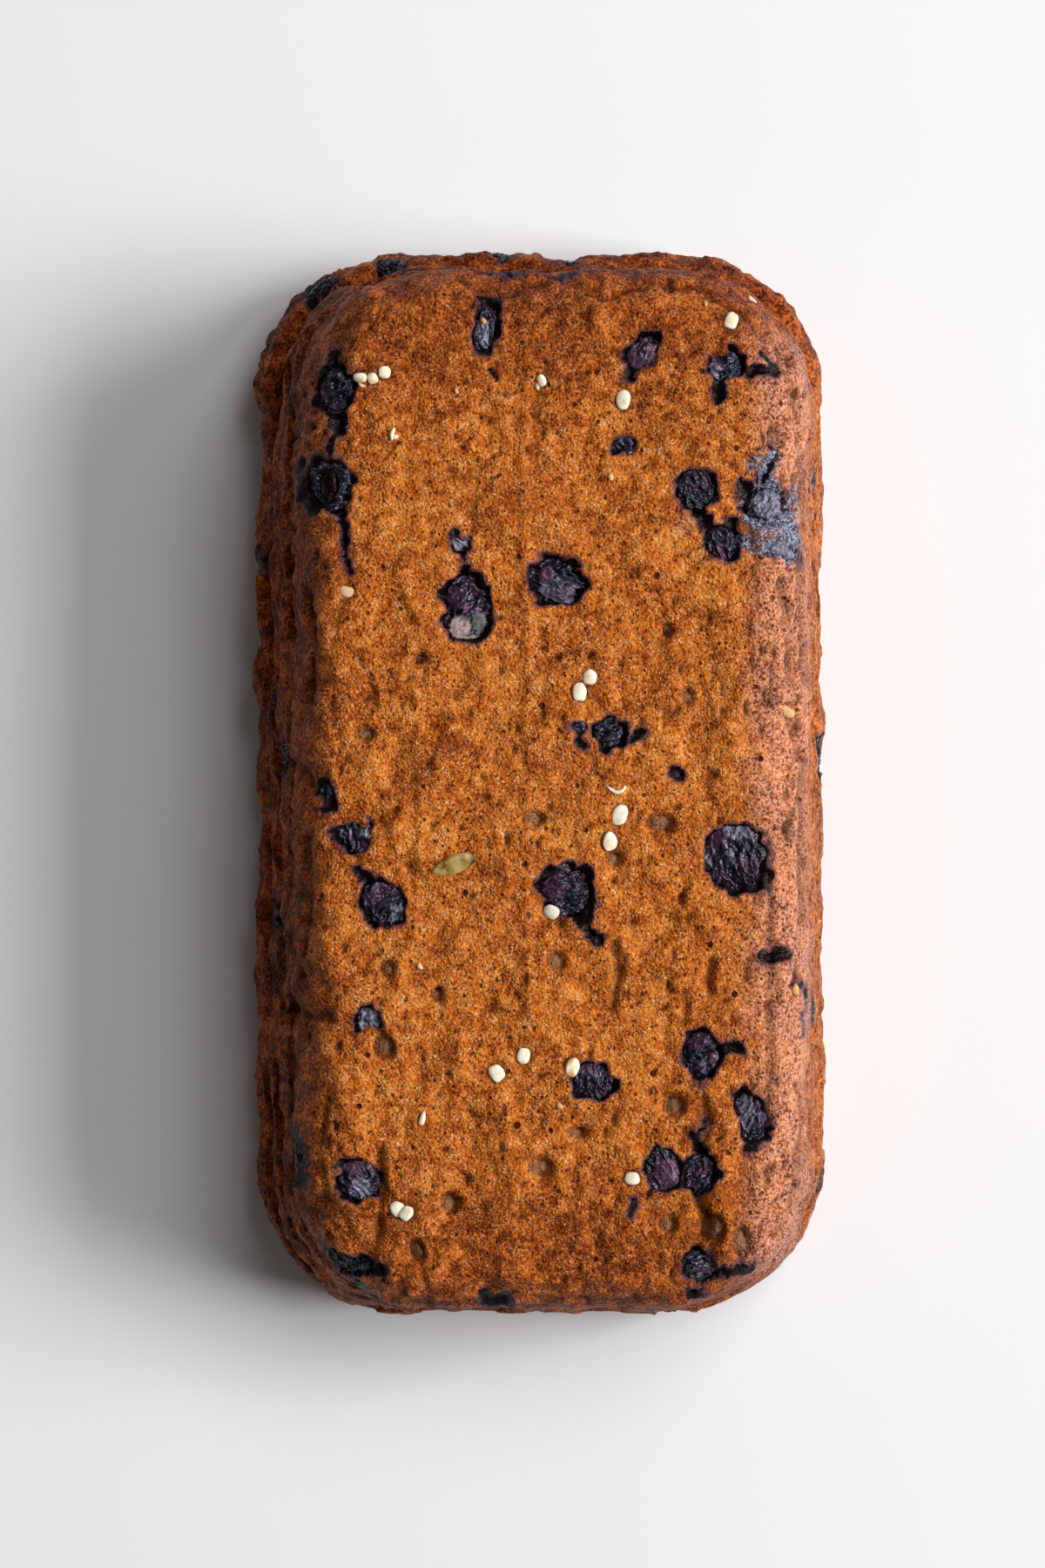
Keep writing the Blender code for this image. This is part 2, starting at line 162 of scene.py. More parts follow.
def top_point(x, y):
    """A point of the top, from the middle of the rolled edge inwards."""
    start = ROLL_IN * (1 - math.cos(ROLL_END))
    inside = start + distance_to_edge(x, y)
    drop = 0.0
    if inside < ROLL_IN:
        drop = ROLL_DOWN * (1 - math.sqrt(1 - (1 - inside / ROLL_IN) ** 2))
    crown = CROWN * (1 - (x / HALF_WIDTH) ** 2) * (1 - (y / HALF_LENGTH) ** 2)
    moved = drawn_in(x, y, *(side * MM + start for side in WALL_ROWS[-1][1:5]))
    return Vector((*moved, HEIGHT - CROWN - drop + crown))


fine_rows = []
for number, (*_, parts) in enumerate(WALL_ROWS):
    span = ROLL_ROWS if number == len(WALL_ROWS) - 1 else 1
    fine_rows += [number + span * part / parts for part in range(parts)]
fine_rows.append(len(WALL_ROWS) - 1 + ROLL_ROWS)

crust = bmesh.new()
bmesh.ops.create_cube(crust, size=2.0)
for axis, cells in enumerate((CELLS_ACROSS, CELLS_ALONG, len(fine_rows) - 1)):
    running = [e for e in crust.edges if abs(e.verts[0].co[axis] - e.verts[1].co[axis]) > 1]
    bmesh.ops.subdivide_edges(crust, edges=running, cuts=cells - 1)
underside = [f for f in crust.faces if f.normal.z < -0.5]
bmesh.ops.delete(crust, geom=underside, context="FACES")
for vertex in crust.verts:
    x, y = rounded_plan(vertex.co.x * HALF_WIDTH, vertex.co.y * HALF_LENGTH)
    level = round((vertex.co.z + 1) / 2 * (len(fine_rows) - 1))
    vertex.co = top_point(x, y) if level == len(fine_rows) - 1 else wall_point(x, y, fine_rows[level])
rim = [e for e in crust.edges if e.is_boundary]
bmesh.ops.holes_fill(crust, edges=rim, sides=0)
crust.normal_update()
swell = {v: v.normal * SWELL * noise.noise(v.co / SWELL_SPAN) for v in crust.verts}
for vertex, move in swell.items():
    vertex.co += move * smooth_step(0, SWELL_START, vertex.co.z)
low = [min(v.co[axis] for v in crust.verts) for axis in range(3)]
high = [max(v.co[axis] for v in crust.verts) for axis in range(3)]
for vertex in crust.verts:
    share = [(vertex.co[axis] - low[axis]) / (high[axis] - low[axis]) for axis in range(3)]
    vertex.co = ((share[0] - 0.5) * WIDTH, (share[1] - 0.5) * LENGTH, share[2] * HEIGHT)
# The underside stays flat up to the foot, and the wall is smoothed from there to the shoulder
FOOT, SHOULDER = 2 * MM, 50 * MM
walls = [v for v in crust.verts if FOOT < v.co.z < SHOULDER]
bmesh.ops.smooth_vert(crust, verts=walls, factor=0.5, use_axis_x=True, use_axis_y=True, use_axis_z=True)
crust.normal_update()

# The marks on the crust, all in millimetres across and along the top from its middle.
# Seeds that the batter covered, as shallow dips: place, width, length and turn
DIPS = (
    (-34.0, 9.5, 3.7, 2.3, 0), (-23.0, 24.0, 1.7, 1.7, 0), (24.2, 29.3, 1.8, 2.3, 0),
    (27.8, 16.7, 2.3, 2.7, 0), (-29.3, -35.5, 2.3, 2.7, 0), (-20.0, -40.2, 2.0, 2.0, 0),
    (-30.2, -50.3, 3.7, 4.2, 0), (13.7, -14.3, 2.7, 2.7, 0), (2.7, -34.0, 3.0, 3.3, 0),
    (-17.8, -80.3, 3.0, 3.3, 0), (-23.8, -89.3, 2.7, 4.0, 20), (25.2, -61.5, 3.8, 3.7, 0),
    (32.8, -85.0, 3.7, 4.7, -10), (38.3, -87.8, 3.3, 5.0, 10), (-0.5, -73.3, 4.3, 3.3, 0),
    (44.8, 66.2, 2.7, 3.3, 0), (27.0, -22.2, 1.0, 2.3, 0), (24.0, -84.2, 3.0, 3.0, 0),
    (-1.8, -6.7, 4.0, 2.7, 0), (22.7, -7.5, 5.0, 3.0, 0), (6.5, -66.7, 3.3, 2.0, 0),
)
DIP_DEPTH = 1.6
# Hemp seeds that stuck to the crust: place, width, length, turn and how far toasted
SEEDS = (
    (-34.5, 77.6, 1.9, 2.6, 85, 0.6), (-32.2, 77.4, 2.1, 2.2, 20, 0.5), (-29.9, 78.6, 2.3, 2.4, 0, 0.1),
    (36.4, 88.6, 2.6, 3.3, -20, 0.1), (15.7, 73.4, 2.7, 3.8, -8, 0.2), (0.1, 77.1, 1.7, 2.4, 20, 0.4),
    (9.3, 20.4, 2.8, 2.9, 0, 0.4), (7.3, 17.6, 2.7, 3.6, 0, 0.35), (15.0, -5.9, 2.9, 4.1, -22, 0.0),
    (13.1, -10.9, 2.7, 3.6, 0, 0.3), (2.0, -24.3, 2.7, 3.0, 50, 0.1), (-8.5, -55.2, 2.9, 3.4, 30, 0.0),
    (-3.4, -51.9, 2.5, 3.2, -15, 0.1), (5.9, -54.0, 2.7, 3.7, -10, 0.9), (-22.7, -63.8, 1.2, 2.8, -15, 0.5),
    (17.4, -75.3, 2.9, 2.5, 0, 0.1), (-27.5, -81.2, 2.7, 3.1, 40, 0.0), (-25.7, -82.0, 2.5, 3.0, -30, 0.2),
)
# Pores wide enough to see into: place and width
PITS = (
    (14.5, 31.2, 1.2), (15.2, 22.8, 1.5), (9.2, 24.3, 1.3), (24.0, 28.8, 1.5), (-23.5, 23.3, 1.3),
    (-26.3, 25.8, 1.2), (3.2, 24.2, 1.7), (4.5, 22.2, 1.3), (-5.5, -21.7, 1.3), (-2.5, -25.0, 1.3),
    (-15.5, -79.3, 1.2), (-18.8, -84.7, 1.1), (-18.5, -87.2, 1.1), (5.7, -88.3, 1.2), (7.3, -92.5, 1.3),
    (-30.2, -95.0, 1.1), (13.2, -75.8, 1.4), (-20.2, 70.8, 1.3), (-11.3, 70.0, 1.2), (32.3, 70.0, 1.1),
    (16.0, -33.3, 1.1), (-38.2, 35.0, 1.1), (-30.7, -41.7, 1.1), (45.3, -8.7, 1.0), (47.3, 75.3, 1.0),
)
# Cracks, torn edges and the rims of flaps: depth, half width and points. A depth below 0 is a raised ridge.
CREASES = (
    (0.9, 1.2, ((-38.2, 88.0), (-39.4, 76.0), (-38.0, 62.0), (-38.6, 50.0), (-37.0, 36.0))),
    (1.2, 0.8, ((-47.5, 4.4), (-44.6, 1.6), (-42.0, -2.4))),
    (0.8, 0.6, ((-14.2, -62.0), (-11.0, -64.6), (-7.4, -63.2))), (1.3, 0.8, ((32.3, -33.2), (32.2, -39.6))),
    (1.3, 0.8, ((27.6, -40.4), (27.8, -44.8))),
    (0.7, 0.9, ((44.2, -10.0), (43.6, -30.0), (44.0, -50.0), (43.2, -66.0))),
    (0.8, 0.5, ((47.0, 28.0), (47.4, 18.0))),
    (1.1, 0.8, ((-16.2, 96.2), (-11.8, 94.6), (-7.5, 93.2), (-3.5, 95.0), (0.5, 96.5))),
    (
        1.2, 0.8,
        ((8.5, 94.5), (11.5, 92.8), (15.2, 94.5), (23.0, 96.4), (30.0, 95.0), (35.0, 92.4), (43.0, 86.0)),
    ),
    (1.7, 1.0, ((29.8, -79.0), (32.0, -84.0), (29.6, -88.0), (30.0, -92.0))),
    (1.3, 0.9, ((30.6, -60.0), (32.2, -65.0), (30.2, -69.0))),
    (1.5, 0.9, ((-50.0, -42.6), (-46.0, -44.5), (-40.0, -45.0), (-35.5, -46.3))),
    (-1.1, 1.7, ((-45.6, -39.6), (-44.2, -41.0))),
    (1.3, 0.9, ((-31.0, -70.0), (-30.4, -78.0), (-31.6, -88.0))),
    (-0.7, 1.6, ((34.8, -66.0), (35.4, -78.0), (34.6, -88.0))),
    (1.2, 0.8, ((-44.8, 36.0), (-43.6, 28.0), (-44.6, 16.0))),
    (1.2, 0.8, ((14.0, -30.0), (14.8, -36.0), (13.6, -42.0))),
    (0.7, 0.7, ((-49.0, -40.5), (-46.0, -46.0), (-47.0, -54.0), (-49.8, -60.8))),
    (0.5, 0.7, ((-26.0, -99.0), (-6.0, -99.5), (16.0, -99.0), (30.0, -98.0))),
    (1.3, 0.9, ((46.3, 39.0), (46.9, 34.5), (46.2, 31.0))),
    (1.3, 0.9, ((47.8, 29.0), (48.6, 24.0), (48.2, 20.0))),
    (1.3, 0.8, ((47.6, 15.0), (49.0, 9.0), (50.6, 3.0))),
    (1.3, 0.9, ((50.2, 62.0), (50.8, 50.0), (50.0, 36.0), (50.9, 20.0))),
    (1.2, 0.9, ((50.6, 2.0), (50.0, -12.0), (50.8, -26.0))),
    (1.2, 0.9, ((49.6, -58.0), (50.2, -70.0), (48.6, -82.0))),
    (0.8, 0.6, ((45.6, 84.0), (47.8, 76.0), (49.2, 70.0))),
    (0.7, 0.5, ((-43.0, 30.0), (-44.5, 20.0), (-43.6, 12.0))),
    (0.8, 0.6, ((-45.0, -10.0), (-43.8, -22.0), (-45.4, -33.0))),
    (0.6, 0.5, ((-41.0, -60.0), (-42.2, -70.0), (-41.2, -80.0))),
    (-0.35, 0.9, ((-2.8, 84.0), (-3.2, 50.0), (-2.4, 20.0), (-3.0, -12.0), (-2.4, -44.0))),
    (-0.3, 0.9, ((12.2, 40.0), (13.0, 10.0), (12.4, -24.0))),
    (-0.3, 0.8, ((-24.0, 20.0), (-22.8, -6.0), (-24.4, -30.0))),
)
# Where juice ran from a berry and dried black in the crust: half width and points. The edge wanders, so a run
# of half width 0 or less is a broken thin line.
RUNS = (
    (1.2, ((-39.0, 73.7), (-38.7, 68.0))), (0.4, ((-39.3, 67.3), (-39.7, 63.7))),
    (0.4, ((-39.5, 79.3), (-39.8, 83.0))), (0.4, ((-38.3, 52.0), (-37.5, 44.7), (-36.5, 40.8))),
    (0.6, ((-46.0, 62.0), (-45.4, 55.0), (-43.2, 52.5))),
    (1.1, ((-10.8, 91.7), (-11.2, 88.0), (-10.5, 83.0))), (0.8, ((-9.0, 92.0), (-8.5, 85.8))),
    (0.8, ((17.8, 79.2), (16.8, 77.8))), (0.7, ((33.5, 76.7), (33.8, 74.0))),
    (0.7, ((40.8, 79.0), (44.5, 79.2))), (0.5, ((42.7, 81.8), (43.0, 81.5))),
    (1.0, ((30.3, 52.0), (31.8, 49.3), (33.8, 47.0))), (1.3, ((38.5, 57.3), (39.2, 54.3), (40.8, 51.7))),
    (0.7, ((42.2, 58.5), (43.2, 61.0), (44.2, 63.4))), (1.0, ((46.5, 50.0), (48.8, 46.3), (49.8, 43.3))),
    (0.8, ((36.5, 50.0), (37.5, 45.7))), (0.4, ((-15.3, 45.0), (-14.5, 41.3), (-14.2, 39.3))),
    (0.5, ((7.2, 8.3), (7.8, 7.3))), (0.5, ((17.5, 9.0), (19.5, 9.7))), (0.8, ((15.8, 10.8), (15.8, 8.3))),
    (0.7, ((-35.0, -16.0), (-34.2, -17.7), (-32.8, -19.3))),
    (0.8, ((-41.8, -0.5), (-40.5, -2.3), (-40.5, -4.3))), (1.3, ((8.2, -17.0), (8.8, -21.7), (8.2, -26.0))),
    (0.7, ((9.8, -28.7), (11.2, -29.7))), (0.6, ((43.2, -16.7), (43.2, -19.3))),
    (0.9, ((42.2, -32.8), (43.5, -33.3))), (0.8, ((44.8, -32.5), (46.2, -33.0))),
    (0.1, ((47.8, -38.5), (49.5, -39.0))),
    (-0.3, ((50.2, -38.0), (51.2, -41.7), (50.3, -44.3), (51.0, -48.3))),
    (0.9, ((29.0, -48.3), (30.5, -48.0), (31.5, -49.3))),
    (0.8, ((33.2, -50.8), (36.2, -50.0), (38.2, -50.7))), (0.7, ((30.2, -54.2), (30.2, -57.3))),
    (0.9, ((38.2, -59.0), (38.5, -61.7), (40.2, -65.0))),
    (1.1, ((39.2, -62.0), (40.5, -66.7), (40.2, -69.7))),
    (0.6, ((41.5, -67.5), (43.5, -66.7), (43.8, -65.0))),
    (0.6, ((29.5, -69.7), (29.8, -67.0), (31.2, -65.3))),
    (0.7, ((31.8, -93.7), (35.8, -93.3), (40.2, -92.7))),
    (1.0, ((-43.5, -89.3), (-40.8, -92.0), (-36.5, -93.3), (-31.2, -93.0))),
    (0.7, ((-36.2, -94.0), (-34.8, -97.3))), (2.9, ((25.0, -74.3), (30.0, -74.3))),
    (2.2, ((-47.6, -68.8), (-46.6, -75.0))), (1.2, ((-10.5, -99.0), (-6.5, -99.2))),
    (0.6, ((-9.5, 98.6), (-5.0, 98.2))), (0.8, ((0.5, 98.6), (5.5, 98.0))),
    (1.2, ((-45.2, 89.5), (-42.0, 93.0), (-39.0, 95.5))), (0.9, ((29.2, -98.0), (30.5, -98.3))),
    (1.0, ((25.2, 2.7), (26.2, 2.0))), (0.4, ((18.0, -79.7), (17.3, -82.0))),
)
# Thin skin that a burst berry left on the crust, blue-grey with bloom: place, width, length, turn and
# strength. A strength below 0 takes skin away.
SMEARS = (
    (43.8, 52.5, 11.0, 12.5, 0, 1.0), (43.8, 61.0, 3.8, 9.5, -22, 1.0), (47.0, 46.4, 10.5, 8.5, 25, 1.0),
    (41.5, 46.5, 8.0, 6.0, 0, 0.85), (27.3, 49.5, 3.6, 6.0, 30, 0.6), (51.0, -44.0, 1.4, 8.0, 0, 0.7),
    (40.6, 61.6, 2.2, 5.0, -30, 0.9), (41.0, 45.6, 5.0, 4.0, 0, 0.9), (35.3, 47.0, 2.6, 7.0, 20, 0.5),
    (33.0, -50.5, 3.0, 6.0, 0, 0.4), (46.4, 54.2, 1.2, 5.0, 12, -1.0), (44.2, 61.0, 1.0, 6.6, -28, -1.0),
    (39.0, 56.9, 2.8, 4.6, 0, -1.0),
)

# Where batter rose over the edge or the middle of a berry: place, width, length, turn, and how far juice
# soaked the batter
OVERLAPS = (
    (-40.7, 57.2, 3.6, 6.0, 0, 0.9), (40.3, 63.2, 5.0, 8.6, -20, 0), (33.6, 51.4, 2.4, 3.6, 0, 0),
    (44.9, -61.0, 3.4, 9.0, 10, 0), (36.2, -64.0, 2.6, 11.0, 12, 0), (-34.4, -6.8, 2.2, 3.4, 30, 0),
    (44.9, 42.2, 4.4, 2.6, 0, 0), (33.4, 82.9, 5.0, 2.2, 0, 0), (9.3, -17.0, 2.2, 3.6, 20, 0),
    (-42.6, -92.4, 3.6, 2.4, 0, 0), (-29.5, 47.0, 1.0, 1.0, 0, 0), (16.6, 85.6, 3.4, 2.6, -30, 0),
)
# Batter rose over a berry only above this height
COVER_FROM = 44 * MM


def distance_to_line(x, y, points):
    """How far a place lies from a run of straight stretches, all in millimetres."""
    nearest = math.inf
    for (ax, ay), (bx, by) in zip(points, points[1:]):
        run_x, run_y = bx - ax, by - ay
        share = ((x - ax) * run_x + (y - ay) * run_y) / (run_x * run_x + run_y * run_y)
        share = min(1.0, max(0.0, share))
        nearest = min(nearest, math.hypot(x - ax - share * run_x, y - ay - share * run_y))
    return nearest


def oval_reach(x, y, middle_x, middle_y, width, length, turn):
    """0 in the middle of a turned oval and 1 on its edge."""
    c, s = math.cos(math.radians(turn)), math.sin(math.radians(turn))
    off_x, off_y = x - middle_x, y - middle_y
    return 2 * math.hypot((off_x * c + off_y * s) / width, (off_y * c - off_x * s) / length)


def close_to(x, y, points, margin):
    """Whether a place lies within a margin of the box round some points."""
    return (
        min(p[0] for p in points) - margin < x < max(p[0] for p in points) + margin
        and min(p[1] for p in points) - margin < y < max(p[1] for p in points) + margin
    )


def lumps(place, span):
    """Soft lumps between -1 and 1, about so many millimetres apart."""
    return noise.noise(place / (span * MM))


def cover_at(x, y, height):
    """How far batter rose over a berry at the top, from 0 to 1, and how far juice soaked it there."""
    if height < COVER_FROM:
        return 0.0, 0.0
    wander = 0.3 * noise.noise(Vector((x / 1.6, y / 1.6, 2)))
    near = [oval for oval in OVERLAPS if abs(x - oval[0]) < 7 and abs(y - oval[1]) < 7]
    shares = ((smooth_step(1.15, 0.85, oval_reach(x, y, *oval[:5]) + wander), oval[5]) for oval in near)
    return max(shares, default=(0.0, 0.0))


# Small pits: how many, and the ranges of their place across and along, their width and their stretch
PIT_GROUPS = (
    (260, (-52, 52), (-100, 100), (0.7, 1.2), (0.8, 1.5)),
    (44, (42, 51), (-80, 84), (0.9, 1.3), (1.6, 3.0)),
    (24, (-48, -38), (-80, 84), (0.8, 1.2), (1.4, 2.6)),
    (70, (-8, 44), (-96, 44), (0.8, 1.15), (1.5, 3.2)),
)
dice = random.Random(7)
small_pits = [
    tuple(dice.uniform(*limits) for limits in ranges) for count, *ranges in PIT_GROUPS for _ in range(count)
]
all_pits = [(*pit, 1.0) for pit in PITS] + small_pits
# The skins of all the berries, to find how far a place in the crust lies from the nearest one
SAME_PLACE = 1e-6
skins = bmesh.new()
for name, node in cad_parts.items():
    if name.startswith("berry"):
        skins.from_mesh(node.data)
bmesh.ops.remove_doubles(skins, verts=skins.verts, dist=SAME_PLACE)
skin_tree = BVHTree.FromBMesh(skins)
skins.free()

# Where each change of the crust starts and ends: up the wall, then across or along the top in millimetres
WALL_TOP, WALL_FOOT = (54 * MM, 44 * MM), (1 * MM, 6 * MM)
TORN_LEFT, TORN_FAR = (-30, -46), (88, 98)
TORN_RIGHT, RIGHT_TORN_SHARE = (47, 53), 0.6
DARK_FAR, DARK_NEAR, DARK_LEFT = (62, 92), (-66, -97), (-33, -46)
DARK_RIGHT, RIGHT_DARK_SHARE = (36, 47), 0.38
# Where the right shoulder's painted sheen starts and ends, across and then along
SHEEN_FROM, SHEEN_TO, SHEEN_NEAR, SHEEN_FAR = (37.0, 44.0), (53.5, 50), (-102, -92), (92, 80)
PALE_RIGHT, PALE_FAR, NEAR_LUMPY = (30, 46), (97, 86), (-60, -80)
# How dark the ends, the wall and its torn places are baked, and how much less where the crust is pale.
# At the left side and its torn ledges, away from the light, the darkening also paints their shade.
ENDS_BAKE, WALL_BAKE, TORN_BAKE, PALE_SHARE = 0.75, 0.45, 0.5, 0.7
# Every mark lies above this height
MARKS_FROM = 34 * MM
# The relief in millimetres: lumps as their depth and span, long low swells, and the layers and scales of the
# torn batter
CRUST_LUMPS = ((0.9, 9.0), (0.55, 4.4), (0.34, 2.0))
WALL_CALM = 0.6
SWELL_HEIGHT, SWELL_ACROSS, SWELL_ALONG, SWELL_EDGE = 0.5, 8.0 * MM, 15.0 * MM, (-0.03, 0.07)
LAYER_WIDE, LAYER_THICK = 12.0 * MM, 4.0 * MM
SCALE_SHORT, SCALE_LONG, SCALE_THICK = 2.6, 10.0, 1.9
LAYER_DEPTH, SCALE_DEPTH, TORN_SINK = 1.3, 1.7, 0.4
TORN_GRIT, WHOLE_WALL_DEPTH, NEAR_LUMP_DEPTH = 0.35, 0.35, 0.7
# How deep the marks are in millimetres, and a pit as a share of its width
SEED_HOLLOW, RUN_DEPTH, CRATER_DEPTH, DRIED_DEPTH, PIT_SHARE = 0.4, 0.9, 1.7, 0.9, 0.75
# The lowest that juice ran down a shoulder in millimetres, how much higher that is at the far end, and over
# what height it fades
RUN_FOOT, RUN_FOOT_FAR, RUN_FADE = 42.5, 3.8, 3.5
FAR_SHOULDER = (92, 97)
# How deep under the crust, and from there how far, the nearest berry is looked for
LOOK_UNDER, LOOK_FAR = 1.8 * MM, 6 * MM

layers = {key: crust.verts.layers.float.new(key) for key in ("juice", "husk", "bake_and_shade", "smear", "painted_shade", "painted_sheen")}
torn = {}
for vertex in crust.verts:
    place = vertex.co
    x, y = place.x / MM, place.y / MM
    wall = smooth_step(*WALL_TOP, place.z) * smooth_step(*WALL_FOOT, place.z)
    ragged = wall * max(
        smooth_step(*TORN_LEFT, x),
        smooth_step(*TORN_FAR, y),
        RIGHT_TORN_SHARE * smooth_step(*TORN_RIGHT, x),
    )
    move = 0.0
    for depth, span in CRUST_LUMPS:
        move += depth * lumps(place, span)
    move *= 1 - WALL_CALM * wall
    stretched = Vector((place.x / SWELL_ACROSS, place.y / SWELL_ALONG, 4.0))
    stretched += Vector((0.3 * lumps(place, 4.0), 0, 0))
    move += SWELL_HEIGHT * smooth_step(*SWELL_EDGE, noise.noise(stretched))
    layered = Vector((place.x / LAYER_WIDE, place.y / LAYER_WIDE, place.z / LAYER_THICK))
    scaly = 0.0
    if ragged > 0:
        for share, span_x, span_y in (
            (vertex.normal.x ** 2, SCALE_SHORT, SCALE_LONG),
            (vertex.normal.y ** 2, SCALE_LONG, SCALE_SHORT),
        ):
            scale = Vector((place.x / span_x, place.y / span_y, place.z / SCALE_THICK)) / MM
            scaly += share * abs(noise.noise(scale))
    torn_batter = LAYER_DEPTH * noise.noise(layered) + SCALE_DEPTH * scaly - TORN_SINK
    move += ragged * (torn_batter + TORN_GRIT * lumps(place, 1.7))
    move += wall * (1 - ragged) * WHOLE_WALL_DEPTH * noise.noise(layered * 1.3)
    move += NEAR_LUMP_DEPTH * smooth_step(*NEAR_LUMPY, y) * (1 - wall) * lumps(place, 2.9)
    if place.z < FOOT:
        move = 0.0
    # The painted shade: dark paint where shade falls, on the inner slope of each dip away from the light, in
    # a ring round each seed, in pits and along cracks
    husk = juice = smear = painted_shade = 0.0
    if place.z > MARKS_FROM:
        for dip_x, dip_y, width, length, turn in DIPS:
            if abs(x - dip_x) < 5 and abs(y - dip_y) < 5:
                reach = oval_reach(x, y, dip_x, dip_y, width, length, turn)
                moat = math.exp(-(((reach - 1.0) / 0.3) ** 2))
                husk = max(husk, smooth_step(1.0, 0.7, reach))
                # Painted shade: a dark crescent on the dip's right and far inner slope, away from the light
                painted_shade = max(painted_shade, 0.75 * moat * smooth_step(-0.5, 0.6, (x - dip_x + y - dip_y) / width))
                move -= DIP_DEPTH * (0.9 * moat + 0.45 * smooth_step(1.2, 0.8, reach))
        for seed_x, seed_y, width, length, turn, _ in SEEDS:
            if abs(x - seed_x) < 4 and abs(y - seed_y) < 4:
                hollow = smooth_step(1.5, 1.0, oval_reach(x, y, seed_x, seed_y, width, length, turn))
                # Painted shade: a dark ring round the seed
                painted_shade = max(painted_shade, 0.6 * hollow)
                move -= SEED_HOLLOW * hollow
        for pit_x, pit_y, width, stretch in all_pits:
            if abs(x - pit_x) < 2 and abs(y - pit_y) < 4:
                hollow = smooth_step(1.5, 0.3, 2 * math.hypot(x - pit_x, (y - pit_y) / stretch) / width)
                painted_shade = max(painted_shade, hollow)
                move -= PIT_SHARE * width * hollow
        for depth, half_width, points in CREASES:
            if close_to(x, y, points, 4):
                away = distance_to_line(x, y + 0.8 * lumps(place, 4), points)
                away += 0.9 * half_width * lumps(place, 2.5)
                dent = math.exp(-((away / half_width) ** 2))
                move -= depth * dent
                painted_shade = max(painted_shade, 0.6 * dent if depth > 0 else 0.0)
        for smear_x, smear_y, width, length, turn, strength in SMEARS:
            if abs(x - smear_x) < 9 and abs(y - smear_y) < 9:
                reach = oval_reach(x, y, smear_x, smear_y, width, length, turn)
                reach += 0.5 * lumps(place, 1.6)
                share = strength * smooth_step(1.1, 0.75, reach)
                smear = max(smear, share) if strength > 0 else max(0.0, smear + share)
        foot = RUN_FOOT + RUN_FOOT_FAR * smooth_step(*FAR_SHOULDER, y)
        upper = place.z / MM + 3 * lumps(place, 3.0)
        upper = smooth_step(foot, foot + RUN_FADE, upper)
        for half_width, points in RUNS:
            if close_to(x, y, points, 3):
                reach = distance_to_line(x, y, points) - half_width
                reach += 1.1 * lumps(place, 2.0) + 0.6 * lumps(place, 0.9)
                juice = max(juice, upper * smooth_step(1.4, 0.0, reach))
                move -= RUN_DEPTH * upper * smooth_step(0.3, -0.9, reach)
    cover, soaked = cover_at(x, y, place.z)
    sunk = place - vertex.normal * LOOK_UNDER
    near, facing, _, away = skin_tree.find_nearest(sunk, LOOK_FAR)
    if near is not None:
        inside = (sunk - near).dot(facing) < 0
        reach = (-away if inside else away) / MM
        reach += 1.3 * lumps(place, 2.7) + 0.6 * lumps(place, 1.2)
        spread = 0.75 + 0.8 * lumps(place, 3.7)
        wetted = 1 - cover * (1 - soaked)
        juice = max(juice, wetted * smooth_step(spread + 0.35, min(-0.1, spread - 0.8), reach))
        move -= CRATER_DEPTH * (1 - cover) * smooth_step(0.35, -0.5, reach)
    move += DRIED_DEPTH * max(juice, smear) * abs(lumps(place, 1.9))
    # Browning at the ends and on the wall; at the left side, away from the light, it is painted shade too
    ends = max(smooth_step(*DARK_FAR, y), smooth_step(*DARK_NEAR, y), smooth_step(*DARK_LEFT, x))
    ends = max(ends, RIGHT_DARK_SHARE * smooth_step(*DARK_RIGHT, x))
    # The painted sheen: pale pink specks on the right shoulder, standing for the light from the right
    # glinting there, fading towards the ends
    painted_sheen = smooth_step(*SHEEN_FROM, x + 3 * lumps(place, 9)) * smooth_step(*SHEEN_TO, x)
    painted_sheen *= smooth_step(*SHEEN_NEAR, y) * smooth_step(*SHEEN_FAR, y)
    pale = smooth_step(*PALE_RIGHT, x) * smooth_step(*PALE_FAR, y)
    bake_and_shade = min(1.0, ENDS_BAKE * ends + (WALL_BAKE * wall + TORN_BAKE * ragged) * (1 - PALE_SHARE * pale))
    values = (juice, husk, bake_and_shade, smear, painted_shade, painted_sheen)
    for layer, value in zip(layers.values(), values):
        vertex[layer] = value
    torn[vertex] = move * MM
for vertex, move in torn.items():
    vertex.co += vertex.normal * move
crust.normal_update()
surfaces = [BVHTree.FromBMesh(crust)]


def piece_of(name, made, material, slot, *nodes):
    """The bmesh as a smooth-shaded piece that rides on the loaf and stands for the CAD nodes."""
    mesh = bpy.data.meshes.new(name)
    made.to_mesh(mesh)
    made.free()
    mesh.shade_smooth()
    mesh.materials.append(material)
    piece = bpy.data.objects.new(name, mesh)
    bpy.context.scene.collection.objects.link(piece)
    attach(piece, "root")
    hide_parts(*nodes)


def linear(hex_colour):
    """An sRGB hex colour as linear red, green, blue and alpha."""
    values = [int(hex_colour[i : i + 2], 16) / 255 for i in (1, 3, 5)]
    return [v / 12.92 if v <= 0.04045 else ((v + 0.055) / 1.055) ** 2.4 for v in values] + [1.0]


def add_node(tree, kind, inputs=(), stops=(), **settings):
    """The outputs of a new shader node, given its settings, inputs and ramp stops. An input is a link, a hex
    colour or a number."""
    node = tree.nodes.new("ShaderNode" + kind)
    for key, value in settings.items():
        setattr(node, key, value)
    for key, value in dict(inputs).items():
        if isinstance(value, bpy.types.NodeSocket):
            tree.links.new(value, node.inputs[key])
        else:
            node.inputs[key].default_value = linear(value) if isinstance(value, str) else value
    for number, (place, colour) in enumerate(stops):
        elements = node.color_ramp.elements
        element = elements[number] if number < 2 else elements.new(place)
        element.position, element.color = place, linear(colour)
    return node.outputs


